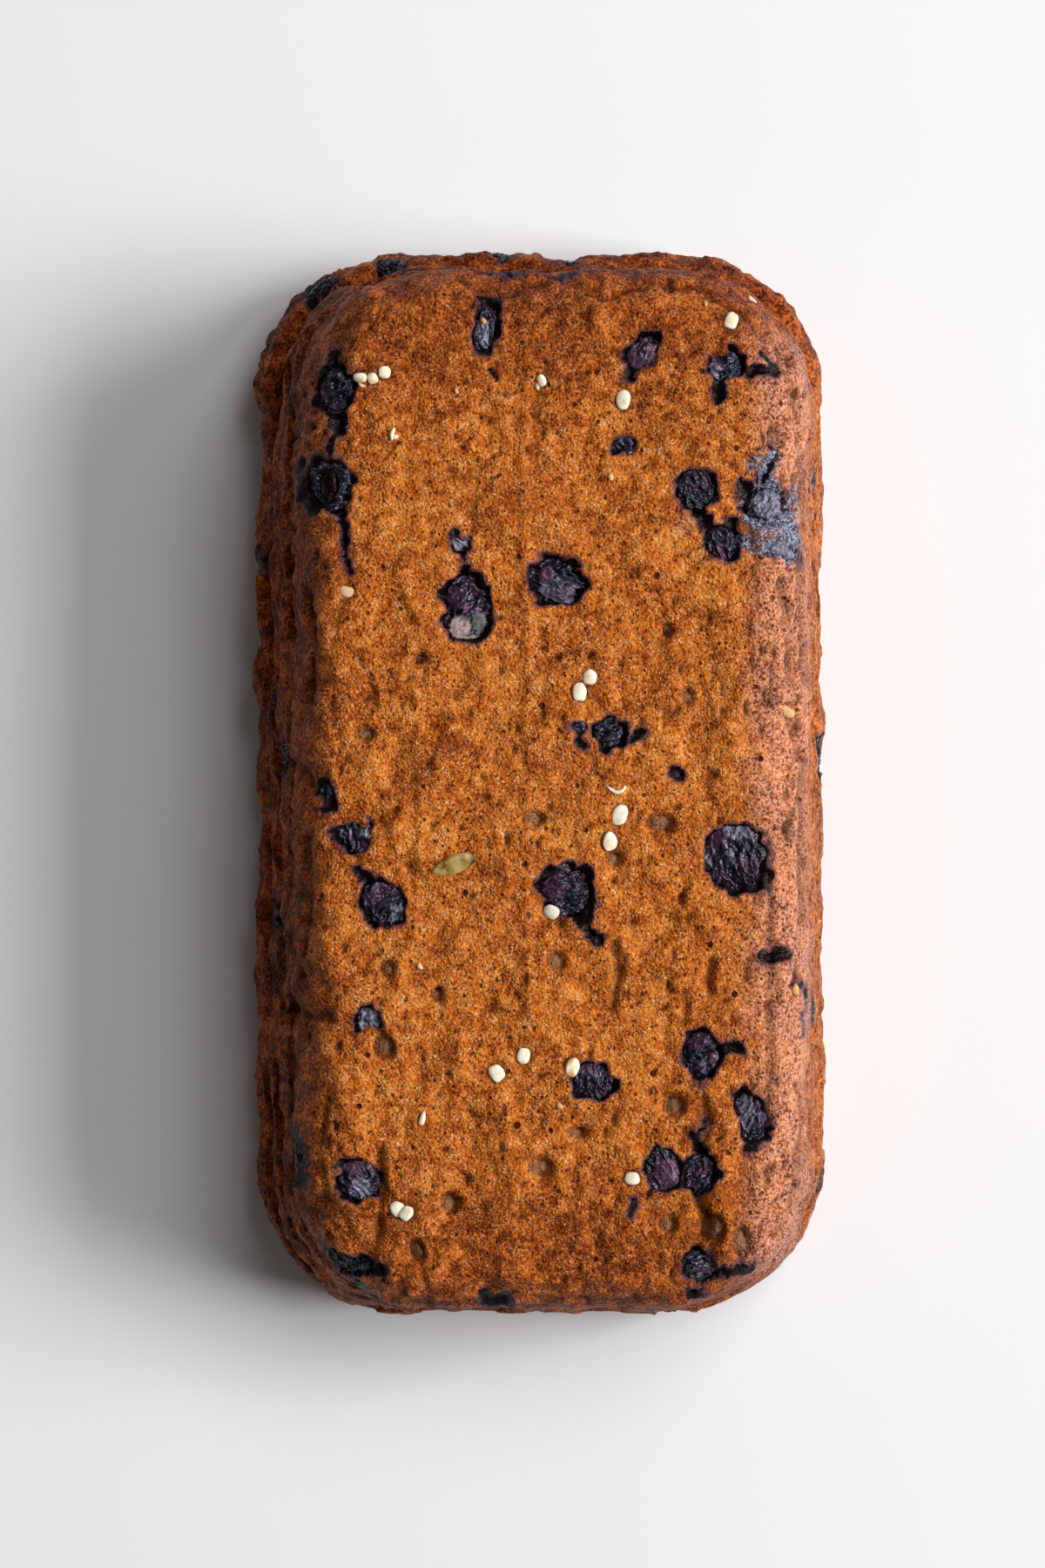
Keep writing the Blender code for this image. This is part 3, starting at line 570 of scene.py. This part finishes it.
def new_material(name, **values):
    """A Principled material with its own fixed values, and its tree, shader and Object coordinates."""
    material = bpy.data.materials.new(name)
    material.use_nodes = True
    tree = material.node_tree
    shader = tree.nodes["Principled BSDF"]
    for key, value in values.items():
        shader.inputs[key.replace("_", " ")].default_value = value
    return material, tree, shader.inputs, add_node(tree, "TexCoord")["Object"]


def pores(tree, here, spacing, share, width):
    """A mask of round pores, by their spacing and width in millimetres and the share of places with one."""
    cells = add_node(tree, "TexVoronoi", {"Vector": here, "Scale": 1000 / spacing})
    split = add_node(tree, "SeparateColor", {"Color": cells["Color"]})
    chosen = add_node(tree, "Math", {0: split["Red"], 1: share}, operation="LESS_THAN")[0]
    sizes = {"Value": split["Green"], "To Min": 0.3 * width / spacing, "To Max": 0.6 * width / spacing}
    radius = add_node(tree, "MapRange", sizes)[0]
    depth = add_node(tree, "Math", {0: radius, 1: cells["Distance"]}, operation="SUBTRACT")[0]
    soft = add_node(tree, "MapRange", {"Value": depth, "From Max": 0.2 * width / spacing})[0]
    return add_node(tree, "Math", {0: chosen, 1: soft}, operation="MULTIPLY")[0]


# Baked crust: sugar and flour browned against tin. It gives the eye a fine grain of tan bubbles over
# red-brown gaps and dark pores, both painted dark as the shade in them, with painted glints and a painted
# sheen on the shoulder. Juice dried to black in it beside the berries.
# Here and below, a scale of 1000 / size gives a pattern of that size in millimetres.
baked_crust, tree, shader, here = new_material(
    "baked crust", IOR=1.4, Specular_IOR_Level=0.2, Specular_Tint=(0.8, 0.6, 0.5, 1)
)
marks = (add_node(tree, "Attribute", attribute_name=key)["Fac"] for key in layers)
juice, husk, bake_and_shade, smear, painted_shade, painted_sheen = marks
grain_look = {"Vector": here, "Scale": 1000 / 0.6, "Detail": 3.0, "Roughness": 0.7}
grain = add_node(tree, "TexNoise", grain_look)["Fac"]
bubbles = add_node(tree, "TexVoronoi", {"Vector": here, "Scale": 1000 / 0.62})
each = add_node(tree, "SeparateColor", {"Color": bubbles["Color"]})["Blue"]
clumps = add_node(tree, "TexNoise", {"Vector": here, "Scale": 1000 / 2.6, "Detail": 2.0})["Fac"]
patches = add_node(tree, "TexNoise", {"Vector": here, "Scale": 1000 / 11, "Detail": 3.0})["Fac"]
# The tone keeps 0.5 as its middle, whatever the strengths of the patterns that make it
patterns = ((grain, 0.8), (each, 0.3), (clumps, 0.75), (patches, 0.6))
tone = 0.5 - sum(strength for _, strength in patterns) / 2
for pattern, strength in patterns:
    tone = add_node(tree, "Math", {0: pattern, 1: strength, 2: tone}, operation="MULTIPLY_ADD")[0]
browning = ((0.1, "#5C1D04"), (0.34, "#97430A"), (0.5, "#BE6213"), (0.68, "#D27A28"), (0.9, "#E8A156"))
colour = add_node(tree, "ValToRGB", {"Fac": tone}, browning)["Color"]
darkest = ((0.22, "#230702"), (0.5, "#7C2C06"), (0.76, "#C8661F"))
baked = add_node(tree, "ValToRGB", {"Fac": tone}, darkest)["Color"]
# Gaps between the bubbles and pores of several sizes, painted dark as the shade inside them
gaps = pores(tree, here, 0.9, 0.55, 0.6)
dots = add_node(tree, "Math", {0: pores(tree, here, 1.15, 0.6, 0.95), 1: painted_sheen}, operation="MULTIPLY")[0]
flecks = add_node(tree, "TexNoise", {"Vector": here, "Scale": 1000 / 0.42, "Detail": 1.0})["Fac"]
flecks = add_node(tree, "MapRange", {"Value": flecks, "From Min": 0.56, "From Max": 0.66})[0]
fine_pores = pores(tree, here, 2.1, 0.6, 0.85)
wide_pores = pores(tree, here, 5.0, 0.5, 1.3)
clumped = add_node(tree, "Math", {0: clumps, 1: 0.6, 2: juice}, operation="MULTIPLY_ADD")[0]
clumped = add_node(tree, "Math", {0: grain, 1: 0.4, 2: clumped}, operation="MULTIPLY_ADD")[0]
fringe = add_node(tree, "MapRange", {"Value": clumped, "From Min": 0.7, "From Max": 1.05, "To Max": 0.75})[0]
stain = add_node(tree, "MapRange", {"Value": clumped, "From Min": 1.15, "From Max": 1.35})[0]
uneven = add_node(tree, "Math", {0: grain, 1: smear}, operation="ADD")[0]
film = add_node(tree, "MapRange", {"Value": uneven, "From Min": 1.0, "From Max": 1.5, "To Max": 0.9})[0]
glints = add_node(tree, "MapRange", {"Value": bake_and_shade, "To Min": 1.0, "To Max": 0.3})[0]
glints = add_node(tree, "Math", {0: glints, 1: flecks}, operation="MULTIPLY")[0]
in_clumps = {"Value": clumps, "From Min": 0.38, "From Max": 0.6, "To Min": 0.35, "To Max": 1.15}
gathered = add_node(tree, "MapRange", in_clumps)[0]
glints = add_node(tree, "Math", {0: glints, 1: gathered}, operation="MULTIPLY")[0]
# Painted sheen: pale pink specks on the grain over the right shoulder
sheen_specks = add_node(tree, "MapRange", {"Value": grain, "From Min": 0.44, "From Max": 0.58})[0]
sheen_specks = add_node(tree, "Math", {0: sheen_specks, 1: painted_sheen}, operation="MULTIPLY")[0]
film_tones = ((0.37, "#13141B"), (0.48, "#50566A"), (0.6, "#A0A3B8"))
filmy = add_node(tree, "ValToRGB", {"Fac": grain}, film_tones)["Color"]
# The layers over the browning. Painted light among them: the darkening of the left side and its torn ledges
# is painted shade as well as browning, the pale pink specks on the right shoulder are a painted sheen, the
# dark gaps and pores are painted shade, the glints are painted highlights, and the dark marks in pits,
# cracks, dips and round the seeds are painted shade.
for where, strength, tint in (
    (bake_and_shade, 1.0, baked),
    (sheen_specks, 0.7, "#E2A998"),
    (gaps, 0.78, "#481103"),
    (dots, 0.75, "#6A2613"),
    (glints, 0.66, "#F2C196"),
    (fine_pores, 0.85, "#42180A"),
    (wide_pores, 0.95, "#32130A"),
    (painted_shade, 0.9, "#43200F"),
    (husk, 0.72, "#7D6048"),
    (fringe, 1.0, "#5C3A48"),
    (stain, 0.99, "#0C070C"),
    (film, 1.0, filmy),
):
    share = add_node(tree, "Math", {0: where, 1: strength}, operation="MULTIPLY")[0]
    colour = add_node(tree, "Mix", {"Factor": share, 6: colour, 7: tint}, data_type="RGBA")[2]
tree.links.new(colour, shader["Base Color"])
moist = {"Value": clumped, "From Min": 0.9, "From Max": 1.3, "To Min": 0.28, "To Max": 0.2}
gloss = add_node(tree, "MapRange", moist)[0]
gloss = add_node(tree, "Math", {0: bake_and_shade, 1: 0.25, 2: gloss}, operation="MULTIPLY_ADD")[0]
gloss = add_node(tree, "Math", {0: painted_sheen, 1: -0.07, 2: gloss}, operation="MULTIPLY_ADD")[0]
tree.links.new(gloss, shader["Roughness"])
height = add_node(tree, "Math", {0: clumps, 1: 0.9, 2: grain}, operation="MULTIPLY_ADD")[0]
for where, strength in (
    (bubbles["Distance"], -0.9),
    (gaps, -0.6),
    (flecks, 0.4),
    (fine_pores, -0.9),
    (wide_pores, -1.6),
):
    height = add_node(tree, "Math", {0: where, 1: strength, 2: height}, operation="MULTIPLY_ADD")[0]
calm = add_node(tree, "MapRange", {"Value": stain, "To Min": 1.0, "To Max": 0.3})[0]
relief = add_node(tree, "Bump", {"Height": height, "Strength": calm, "Distance": 0.34 * MM})["Normal"]
tree.links.new(relief, shader["Normal"])
piece_of("loaf_crust", crust, baked_crust, "crust", "loaf")

# The blueberries: whole fruit that burst and dried in the oven's heat against the tin, flush with the crust.
# Each keeps its wrinkled, moist skin of near black, and some a lilac bloom or a patch of plum or pale pulp.
# Patches on the skins, in millimetres across and along the top: place, width, length and strength
SKIN_PATCHES = {
    "bloom": (
        (43.4, 53.4, 6.0, 6.0, 1.0), (46.5, 47.0, 9.0, 9.0, 0.8), (43.5, 61.0, 6.0, 9.0, 0.6),
        (-15.3, 46.0, 3.0, 4.0, 0.9), (-32.7, -44.8, 6.0, 6.0, 0.8), (-10.9, 86.0, 2.2, 6.0, 1.0),
        (-33.2, -8.5, 2.5, 4.0, 0.9), (-27.0, -25.0, 4.0, 4.0, 0.5), (-1.0, -16.8, 2.5, 2.5, 0.9),
        (33.0, 78.5, 2.5, 4.0, 0.6), (3.5, 36.0, 9.0, 7.0, 0.35), (39.5, -63.0, 3.0, 8.0, 0.6),
        (38.0, -8.6, 7.0, 4.0, 0.75), (42.6, -17.6, 2.6, 7.0, 0.8), (31.6, -15.5, 1.8, 7.0, 0.7),
        (-34.6, -77.0, 4.0, 4.0, 0.8),
    ),
    "plum": (
        (17.5, 80.5, 3.5, 6.0, 1.0), (21.5, 82.3, 3.6, 3.6, 1.0), (24.0, -74.0, 5.6, 5.6, 1.0),
        (1.0, 40.0, 3.0, 4.0, 0.9), (30.0, -48.8, 4.5, 4.0, 0.7), (33.5, -52.5, 3.5, 3.0, 0.7),
        (9.0, -54.5, 4.0, 4.0, 0.5), (-16.5, 36.0, 5.0, 4.0, 0.5), (33.4, -9.8, 6.0, 5.0, 0.8),
        (-35.0, -72.8, 6.0, 3.5, 0.7), (24.0, -78.0, 8.0, 3.0, 0.6), (2.0, -20.0, 6.0, 5.0, 0.4),
    ),
    "pulp": (
        (-15.4, 29.8, 4.4, 5.0, 1.0), (-12.8, 27.4, 4.6, 2.4, 0.9),
    ),
    "unripe": (
        (-11.6, 30.8, 3.4, 4.0, 1.0),
    ),
}

# Baked blueberry skin: a thin waxed skin, wet with juice. It gives the eye near black with sharp small
# highlights on its folds, helped by a painted highlight of light blue-grey along the wrinkles' ridges, and
# grey where the wax is left.
blueberry_skin, tree, shader, here = new_material(
    "baked blueberry skin", IOR=1.5, Specular_IOR_Level=0.36, Specular_Tint=(0.8, 0.8, 0.9, 1)
)
bloom, plum, pulp, unripe = (add_node(tree, "Attribute", attribute_name=key)["Fac"] for key in SKIN_PATCHES)
# Painted highlight: a light blue-grey along the ridges of the skin's wrinkles
ridge = add_node(tree, "Attribute", attribute_name="ridge")["Fac"]
blotches = add_node(tree, "TexNoise", {"Vector": here, "Scale": 1000 / 2.8, "Detail": 3.0})["Fac"]
fine_look = {"Vector": here, "Scale": 1000 / 0.8, "Detail": 3.0, "Roughness": 0.6}
fine = add_node(tree, "TexNoise", fine_look)["Fac"]
skin_tones = ((0.38, "#040409"), (0.52, "#110A14"), (0.68, "#482238"))
colour = add_node(tree, "ValToRGB", {"Fac": blotches}, skin_tones)["Color"]
uneven = add_node(tree, "MapRange", {"Value": fine, "From Min": 0.36, "From Max": 0.6})[0]
for where, least, strength, tint in (
    (ridge, 0.05, 0.5, "#5A6178"),
    (plum, 0.15, 1.0, "#5C384E"),
    (bloom, 0.15, 0.95, "#8C8A9E"),
    (pulp, 0.35, 0.95, "#C4ABA4"),
    (unripe, 0.25, 0.75, "#6E7062"),
):
    patchy = add_node(tree, "MapRange", {"Value": uneven, "To Min": least, "To Max": strength})[0]
    share = add_node(tree, "Math", {0: where, 1: patchy}, operation="MULTIPLY")[0]
    colour = add_node(tree, "Mix", {"Factor": share, 6: colour, 7: tint}, data_type="RGBA")[2]
tree.links.new(colour, shader["Base Color"])
moist = {"Value": fine, "From Min": 0.35, "From Max": 0.65, "To Min": 0.07, "To Max": 0.27}
gloss = add_node(tree, "MapRange", moist)[0]
tree.links.new(gloss, shader["Roughness"])
relief = add_node(tree, "Bump", {"Height": fine, "Strength": 0.8, "Distance": 0.16 * MM})["Normal"]
tree.links.new(relief, shader["Normal"])

# A berry wider than this gets more rounds of smoothing
LARGE_BERRY, LARGE_ROUNDS, SMALL_ROUNDS = 6.5 * MM, 4, 3
# The skin's relief in millimetres: lumps, and wrinkles as coarse folds and fine creases
SKIN_LUMP, SKIN_LUMP_SPAN, SKIN_SINK = 0.8, 3.4, 0.5
FOLD_HEIGHT, FOLD_SPAN, CREASE_HEIGHT, CREASE_SPAN = 0.55, 1.35, 0.28, 0.6
# How sharp the wrinkles are, how deep a berry sinks where batter covers it, and the least height of a patch
SHARP, COVER_DEPTH, PATCHES_FROM = 3.0, 2.4, 40 * MM
for number, (name, node) in enumerate(sorted(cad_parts.items())):
    if not name.startswith("berry"):
        continue
    made = bmesh.new()
    made.from_mesh(node.data)
    bmesh.ops.remove_doubles(made, verts=made.verts, dist=SAME_PLACE)
    bmesh.ops.join_triangles(made, faces=made.faces, angle_face_threshold=1.0, angle_shape_threshold=1.5)
    lowest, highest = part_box(name)
    large = max(highest[0] - lowest[0], highest[1] - lowest[1]) > LARGE_BERRY
    for _ in range(LARGE_ROUNDS if large else SMALL_ROUNDS):
        bmesh.ops.subdivide_edges(made, edges=made.edges, cuts=1, use_grid_fill=True)
        bmesh.ops.smooth_vert(
            made, verts=made.verts, factor=0.5, use_axis_x=True, use_axis_y=True, use_axis_z=True
        )
    made.normal_update()
    patch_layers = {key: made.verts.layers.float.new(key) for key in SKIN_PATCHES}
    ridge_highlights = made.verts.layers.float.new("ridge")
    along = Vector((math.cos(number * 2.4), math.sin(number * 2.4), 0))
    moves = {}
    for vertex in made.verts:
        place = vertex.co
        x, y = place.x / MM, place.y / MM
        spread = place - along * (place.dot(along) * 0.5)
        fold = max(0.0, 1 - abs(lumps(spread, FOLD_SPAN)) * SHARP)
        crease = max(0.0, 1 - abs(noise.noise(spread / (CREASE_SPAN * MM) + along)) * SHARP)
        move = SKIN_LUMP * lumps(place, SKIN_LUMP_SPAN) + FOLD_HEIGHT * fold + CREASE_HEIGHT * crease
        move -= SKIN_SINK
        # Where the painted highlight goes: the ridges of the folds and creases
        vertex[ridge_highlights] = max(fold, 0.7 * crease) ** 2
        for key, layer in patch_layers.items():
            shares = [
                strength * smooth_step(1.1, 0.7, oval_reach(x, y, patch_x, patch_y, width, length, 0))
                for patch_x, patch_y, width, length, strength in SKIN_PATCHES[key]
                if abs(x - patch_x) < 9 and abs(y - patch_y) < 9 and place.z > PATCHES_FROM
            ]
            vertex[layer] = max(shares, default=0.0)
        calm = 1 - 0.7 * max(vertex[patch_layers[key]] for key in ("plum", "pulp", "unripe"))
        moves[vertex] = (move * calm - COVER_DEPTH * cover_at(x, y, place.z)[0]) * MM
    for vertex, move in moves.items():
        vertex.co += vertex.normal * move
    surfaces.append(BVHTree.FromBMesh(made))
    piece_of(name + "_skin", made, blueberry_skin, "berry_skin", name)


# The hulled hemp seeds: small cream kernels, soft and a little boxy, some toasted tan on one side. Each stuck
# to the crust, lying on its flat side.
# Where the crust is felt for under a seed, in millimetres from its middle
PROBES = ((0, 0), (0.7, 0), (-0.7, 0), (0, 0.9), (0, -0.9))


def lying_at(x, y, turn):
    """The frame on the crust at a place seen from above: z outwards, y turned from the loaf's length."""
    hits = []
    for off_x, off_y in PROBES:
        above = Vector(((x + off_x) * MM, (y + off_y) * MM, 1))
        found = [surface.ray_cast(above, Vector((0, 0, -1))) for surface in surfaces]
        hits.append(min((hit for hit in found if hit[0] is not None), key=lambda hit: hit[3]))
    place = Vector((x * MM, y * MM, sum(hit[0].z for hit in hits) / len(hits)))
    place.z = (place.z + max(hit[0].z for hit in hits)) / 2
    outward = hits[0][1]
    outward = (outward + Vector((0, 0, 2))).normalized()
    across = Vector((0, 1, 0)).cross(outward).normalized()
    axes = Matrix((across, outward.cross(across), outward)).transposed().to_4x4()
    return Matrix.Translation(place) @ axes @ Matrix.Rotation(math.radians(turn), 4, "Z")


# Hulled hemp seed: a waxy cream kernel, which gives the eye a soft sheen and faint mottling
hulled_seed, tree, shader, here = new_material("hulled hemp seed", Roughness=0.42, IOR=1.45)
toast = add_node(tree, "Attribute", attribute_name="toast")["Fac"]
mottle = add_node(tree, "TexNoise", {"Vector": here, "Scale": 1000 / 1.3, "Detail": 3.0})["Fac"]
kernel_tones = ((0.35, "#E6D7AE"), (0.5, "#EFEAD6"), (0.7, "#F4F3EA"))
colour = add_node(tree, "ValToRGB", {"Fac": mottle}, kernel_tones)["Color"]
colour = add_node(tree, "Mix", {"Factor": toast, 6: colour, 7: "#C98A35"}, data_type="RGBA")[2]
tree.links.new(colour, shader["Base Color"])
SEED_SQUARE, SEED_LUMP, SEED_TAPER, SEED_FLAT = 2.7, 0.14, 0.22, 0.8
SEED_HALF_THICK, SEED_LIFT = 0.5, 0.28
seeds = bmesh.new()
toasted = seeds.verts.layers.float.new("toast")
for number, (x, y, width, length, turn, share) in enumerate(SEEDS):
    made = bmesh.ops.create_uvsphere(seeds, u_segments=24, v_segments=16, radius=1.0)["verts"]
    for vertex in made:
        round_x, round_y, round_z = vertex.co
        spread = (abs(round_x) ** SEED_SQUARE + abs(round_y) ** SEED_SQUARE) ** (1 / SEED_SQUARE)
        boxy = math.hypot(round_x, round_y) / spread if spread > SAME_PLACE else 1.0
        lump = boxy * (1 + SEED_LUMP * noise.noise(vertex.co * 1.2 + Vector((number * 3.1, 0, 0))))
        point = 1 - SEED_TAPER * max(0.0, round_y) ** 2
        blush = noise.noise(vertex.co * 0.9 + Vector((0, number * 1.7, 0)))
        vertex[toasted] = share * smooth_step(-0.35, 0.35, blush - 0.5 * round_x)
        vertex.co.x *= width / 2 * MM * lump * point
        vertex.co.y *= length / 2 * MM * lump
        flat_z = math.copysign(abs(round_z) ** SEED_FLAT, round_z)
        vertex.co.z = (flat_z * SEED_HALF_THICK + SEED_LIFT) * MM
    bmesh.ops.transform(seeds, matrix=lying_at(x, y, turn), verts=made)
piece_of("hemp_seeds", seeds, hulled_seed, "crust", "loaf")

# The husk flakes: thin curled flakes of hemp husk and torn bits of seed, pale to toasted, that baked into the
# crust where they fell.
# Place, width, length, turn, bend and how far toasted
FLAKES = (
    (14.4, -1.6, 0.8, 3.9, 88, 1.5, 0.1), (-28.5, 66.8, 0.9, 2.6, -15, 0.3, 0.1),
    (-27.9, 66.2, 1.4, 0.9, 10, 0.0, 0.2), (-37.0, 36.7, 2.0, 3.3, 70, 0.4, 0.6),
    (47.0, 13.8, 2.2, 3.4, 60, 0.3, 0.8), (40.8, 93.7, 0.9, 2.2, 50, 0.2, 0.5),
    (-23.2, -34.8, 1.0, 1.6, 20, 0.2, 0.6), (-0.6, 76.2, 1.0, 2.2, -30, 0.5, 0.5),
    (48.8, -39.5, 1.5, 2.3, 10, 0.2, 0.9), (13.3, 58.5, 1.1, 1.4, 0, 0.0, 0.7),
    (-11.0, 88.4, 1.0, 1.4, 30, 0.0, 0.9), (3.5, -61.5, 1.1, 1.6, 40, 0.2, 0.8),
    (-34.3, 76.0, 0.7, 1.4, 60, 0.2, 0.5), (31.5, 92.0, 0.8, 1.3, 0, 0.0, 0.9),
    (-16.2, 75.0, 0.8, 1.2, 20, 0.0, 0.8),
)
HUSK_LUMP, HUSK_HALF_THICK, HUSK_LIFT = 0.3, 0.28, 0.12
flakes = bmesh.new()
toasted = flakes.verts.layers.float.new("toast")
for number, (x, y, width, length, turn, bend, share) in enumerate(FLAKES):
    made = bmesh.ops.create_uvsphere(flakes, u_segments=14, v_segments=8, radius=1.0)["verts"]
    for vertex in made:
        lump = 1 + HUSK_LUMP * noise.noise(vertex.co * 1.5 + Vector((number * 2.3, 0, 0)))
        vertex[toasted] = share
        vertex.co.x = (vertex.co.x * width / 2 * lump + bend * vertex.co.y**2) * MM
        vertex.co.y *= length / 2 * MM * lump
        vertex.co.z = (HUSK_HALF_THICK * vertex.co.z + HUSK_LIFT) * MM
    bmesh.ops.transform(flakes, matrix=lying_at(x, y, turn), verts=made)
piece_of("husk_flakes", flakes, hulled_seed, "crust", "loaf")

# The pumpkin seed: one long green-tan kernel, narrow at one end and toasted dark at the other. It baked into
# the crust lying flat.
KERNEL_X, KERNEL_Y, KERNEL_TURN = -16.8, -15.4, -70
KERNEL_HALF_WIDTH, KERNEL_HALF_LENGTH, KERNEL_HALF_THICK = 1.9, 4.4, 0.8
KERNEL_SINK, KERNEL_TAPER = 0.05, 0.35
pumpkin_kernel, tree, shader, here = new_material("toasted pumpkin seed", Roughness=0.45, IOR=1.45)
toast = add_node(tree, "Attribute", attribute_name="toast")["Fac"]
tone = add_node(tree, "TexNoise", {"Vector": here, "Scale": 1000 / 2.2, "Detail": 2.0})["Fac"]
kernel_tones = ((0.38, "#6B4519"), (0.5, "#957938"), (0.66, "#B39C5C"))
colour = add_node(tree, "ValToRGB", {"Fac": tone}, kernel_tones)["Color"]
colour = add_node(tree, "Mix", {"Factor": toast, 6: colour, 7: "#2A1C12"}, data_type="RGBA")[2]
tree.links.new(colour, shader["Base Color"])
kernel = bmesh.new()
toasted = kernel.verts.layers.float.new("toast")
bmesh.ops.create_uvsphere(kernel, u_segments=32, v_segments=24, radius=1.0)
for vertex in kernel.verts:
    vertex[toasted] = smooth_step(0.72, 0.92, vertex.co.y + 0.25 * vertex.co.x)
    point = 1 - KERNEL_TAPER * max(0.0, -vertex.co.y) ** 2
    vertex.co = (
        vertex.co.x * KERNEL_HALF_WIDTH * MM * point,
        vertex.co.y * KERNEL_HALF_LENGTH * MM,
        vertex.co.z * KERNEL_HALF_THICK * MM - KERNEL_SINK * MM,
    )
bmesh.ops.transform(kernel, matrix=lying_at(KERNEL_X, KERNEL_Y, KERNEL_TURN), verts=kernel.verts)
piece_of("pumpkin_seed", kernel, pumpkin_kernel, "crust", "loaf")

# The floor, the light and the camera: a plain pale floor, one wide soft light on the right with a weaker one
# above, and the camera straight above the loaf.
floor_paint, _, shader, _ = new_material("pale floor", Roughness=0.6)
shader["Base Color"].default_value = linear("#E9EBEE")
FLOOR_HALF, FLOOR_DROP = 4.0, 0.2 * MM
floor_mesh = bmesh.new()
bmesh.ops.create_grid(floor_mesh, x_segments=1, y_segments=1, size=FLOOR_HALF)
mesh = bpy.data.meshes.new("floor")
floor_mesh.to_mesh(mesh)
floor_mesh.free()
mesh.materials.append(floor_paint)
floor = bpy.data.objects.new("floor", mesh)
floor.location.z = -FLOOR_DROP
bpy.context.scene.collection.objects.link(floor)

ROOM_TINT, ROOM_STRENGTH = (1.0, 0.94, 0.87, 1.0), 0.09
world = bpy.data.worlds.new("room")
world.use_nodes = True
world.node_tree.nodes["Background"].inputs["Color"].default_value = ROOM_TINT
world.node_tree.nodes["Background"].inputs["Strength"].default_value = ROOM_STRENGTH
bpy.context.scene.world = world

LIGHT_TINT = (1.0, 0.99, 0.975)
# Name, place and size in metres, and power in watts
LIGHTS = (
    ("window", (2.4, 0.1, 1.75), (1.6, 1.4), 112),
    ("skylight", (0.9, 1.0, 2.3), (1.2, 1.2), 24),
)
for name, place, size, power in LIGHTS:
    light = bpy.data.lights.new(name, "AREA")
    light.shape = "RECTANGLE"
    light.size, light.size_y = size
    light.energy = power
    light.color = LIGHT_TINT
    lamp = bpy.data.objects.new(name, light)
    lamp.location = place
    lamp.rotation_euler = (-Vector(place)).to_track_quat("-Z", "Y").to_euler()
    bpy.context.scene.collection.objects.link(lamp)

CAMERA_HEIGHT = 0.89
FRAME_HEIGHT = 0.32
FRAME_CENTRE_X = -3.55 * MM
camera = bpy.data.cameras.new("camera")
camera.sensor_fit = "VERTICAL"
camera.sensor_height = 24
camera.lens = camera.sensor_height * CAMERA_HEIGHT / FRAME_HEIGHT
seen_from = bpy.data.objects.new("camera", camera)
seen_from.location = (FRAME_CENTRE_X, 0, CAMERA_HEIGHT)
bpy.context.scene.collection.objects.link(seen_from)
bpy.context.scene.camera = seen_from
bpy.context.scene.view_settings.view_transform = "Standard"
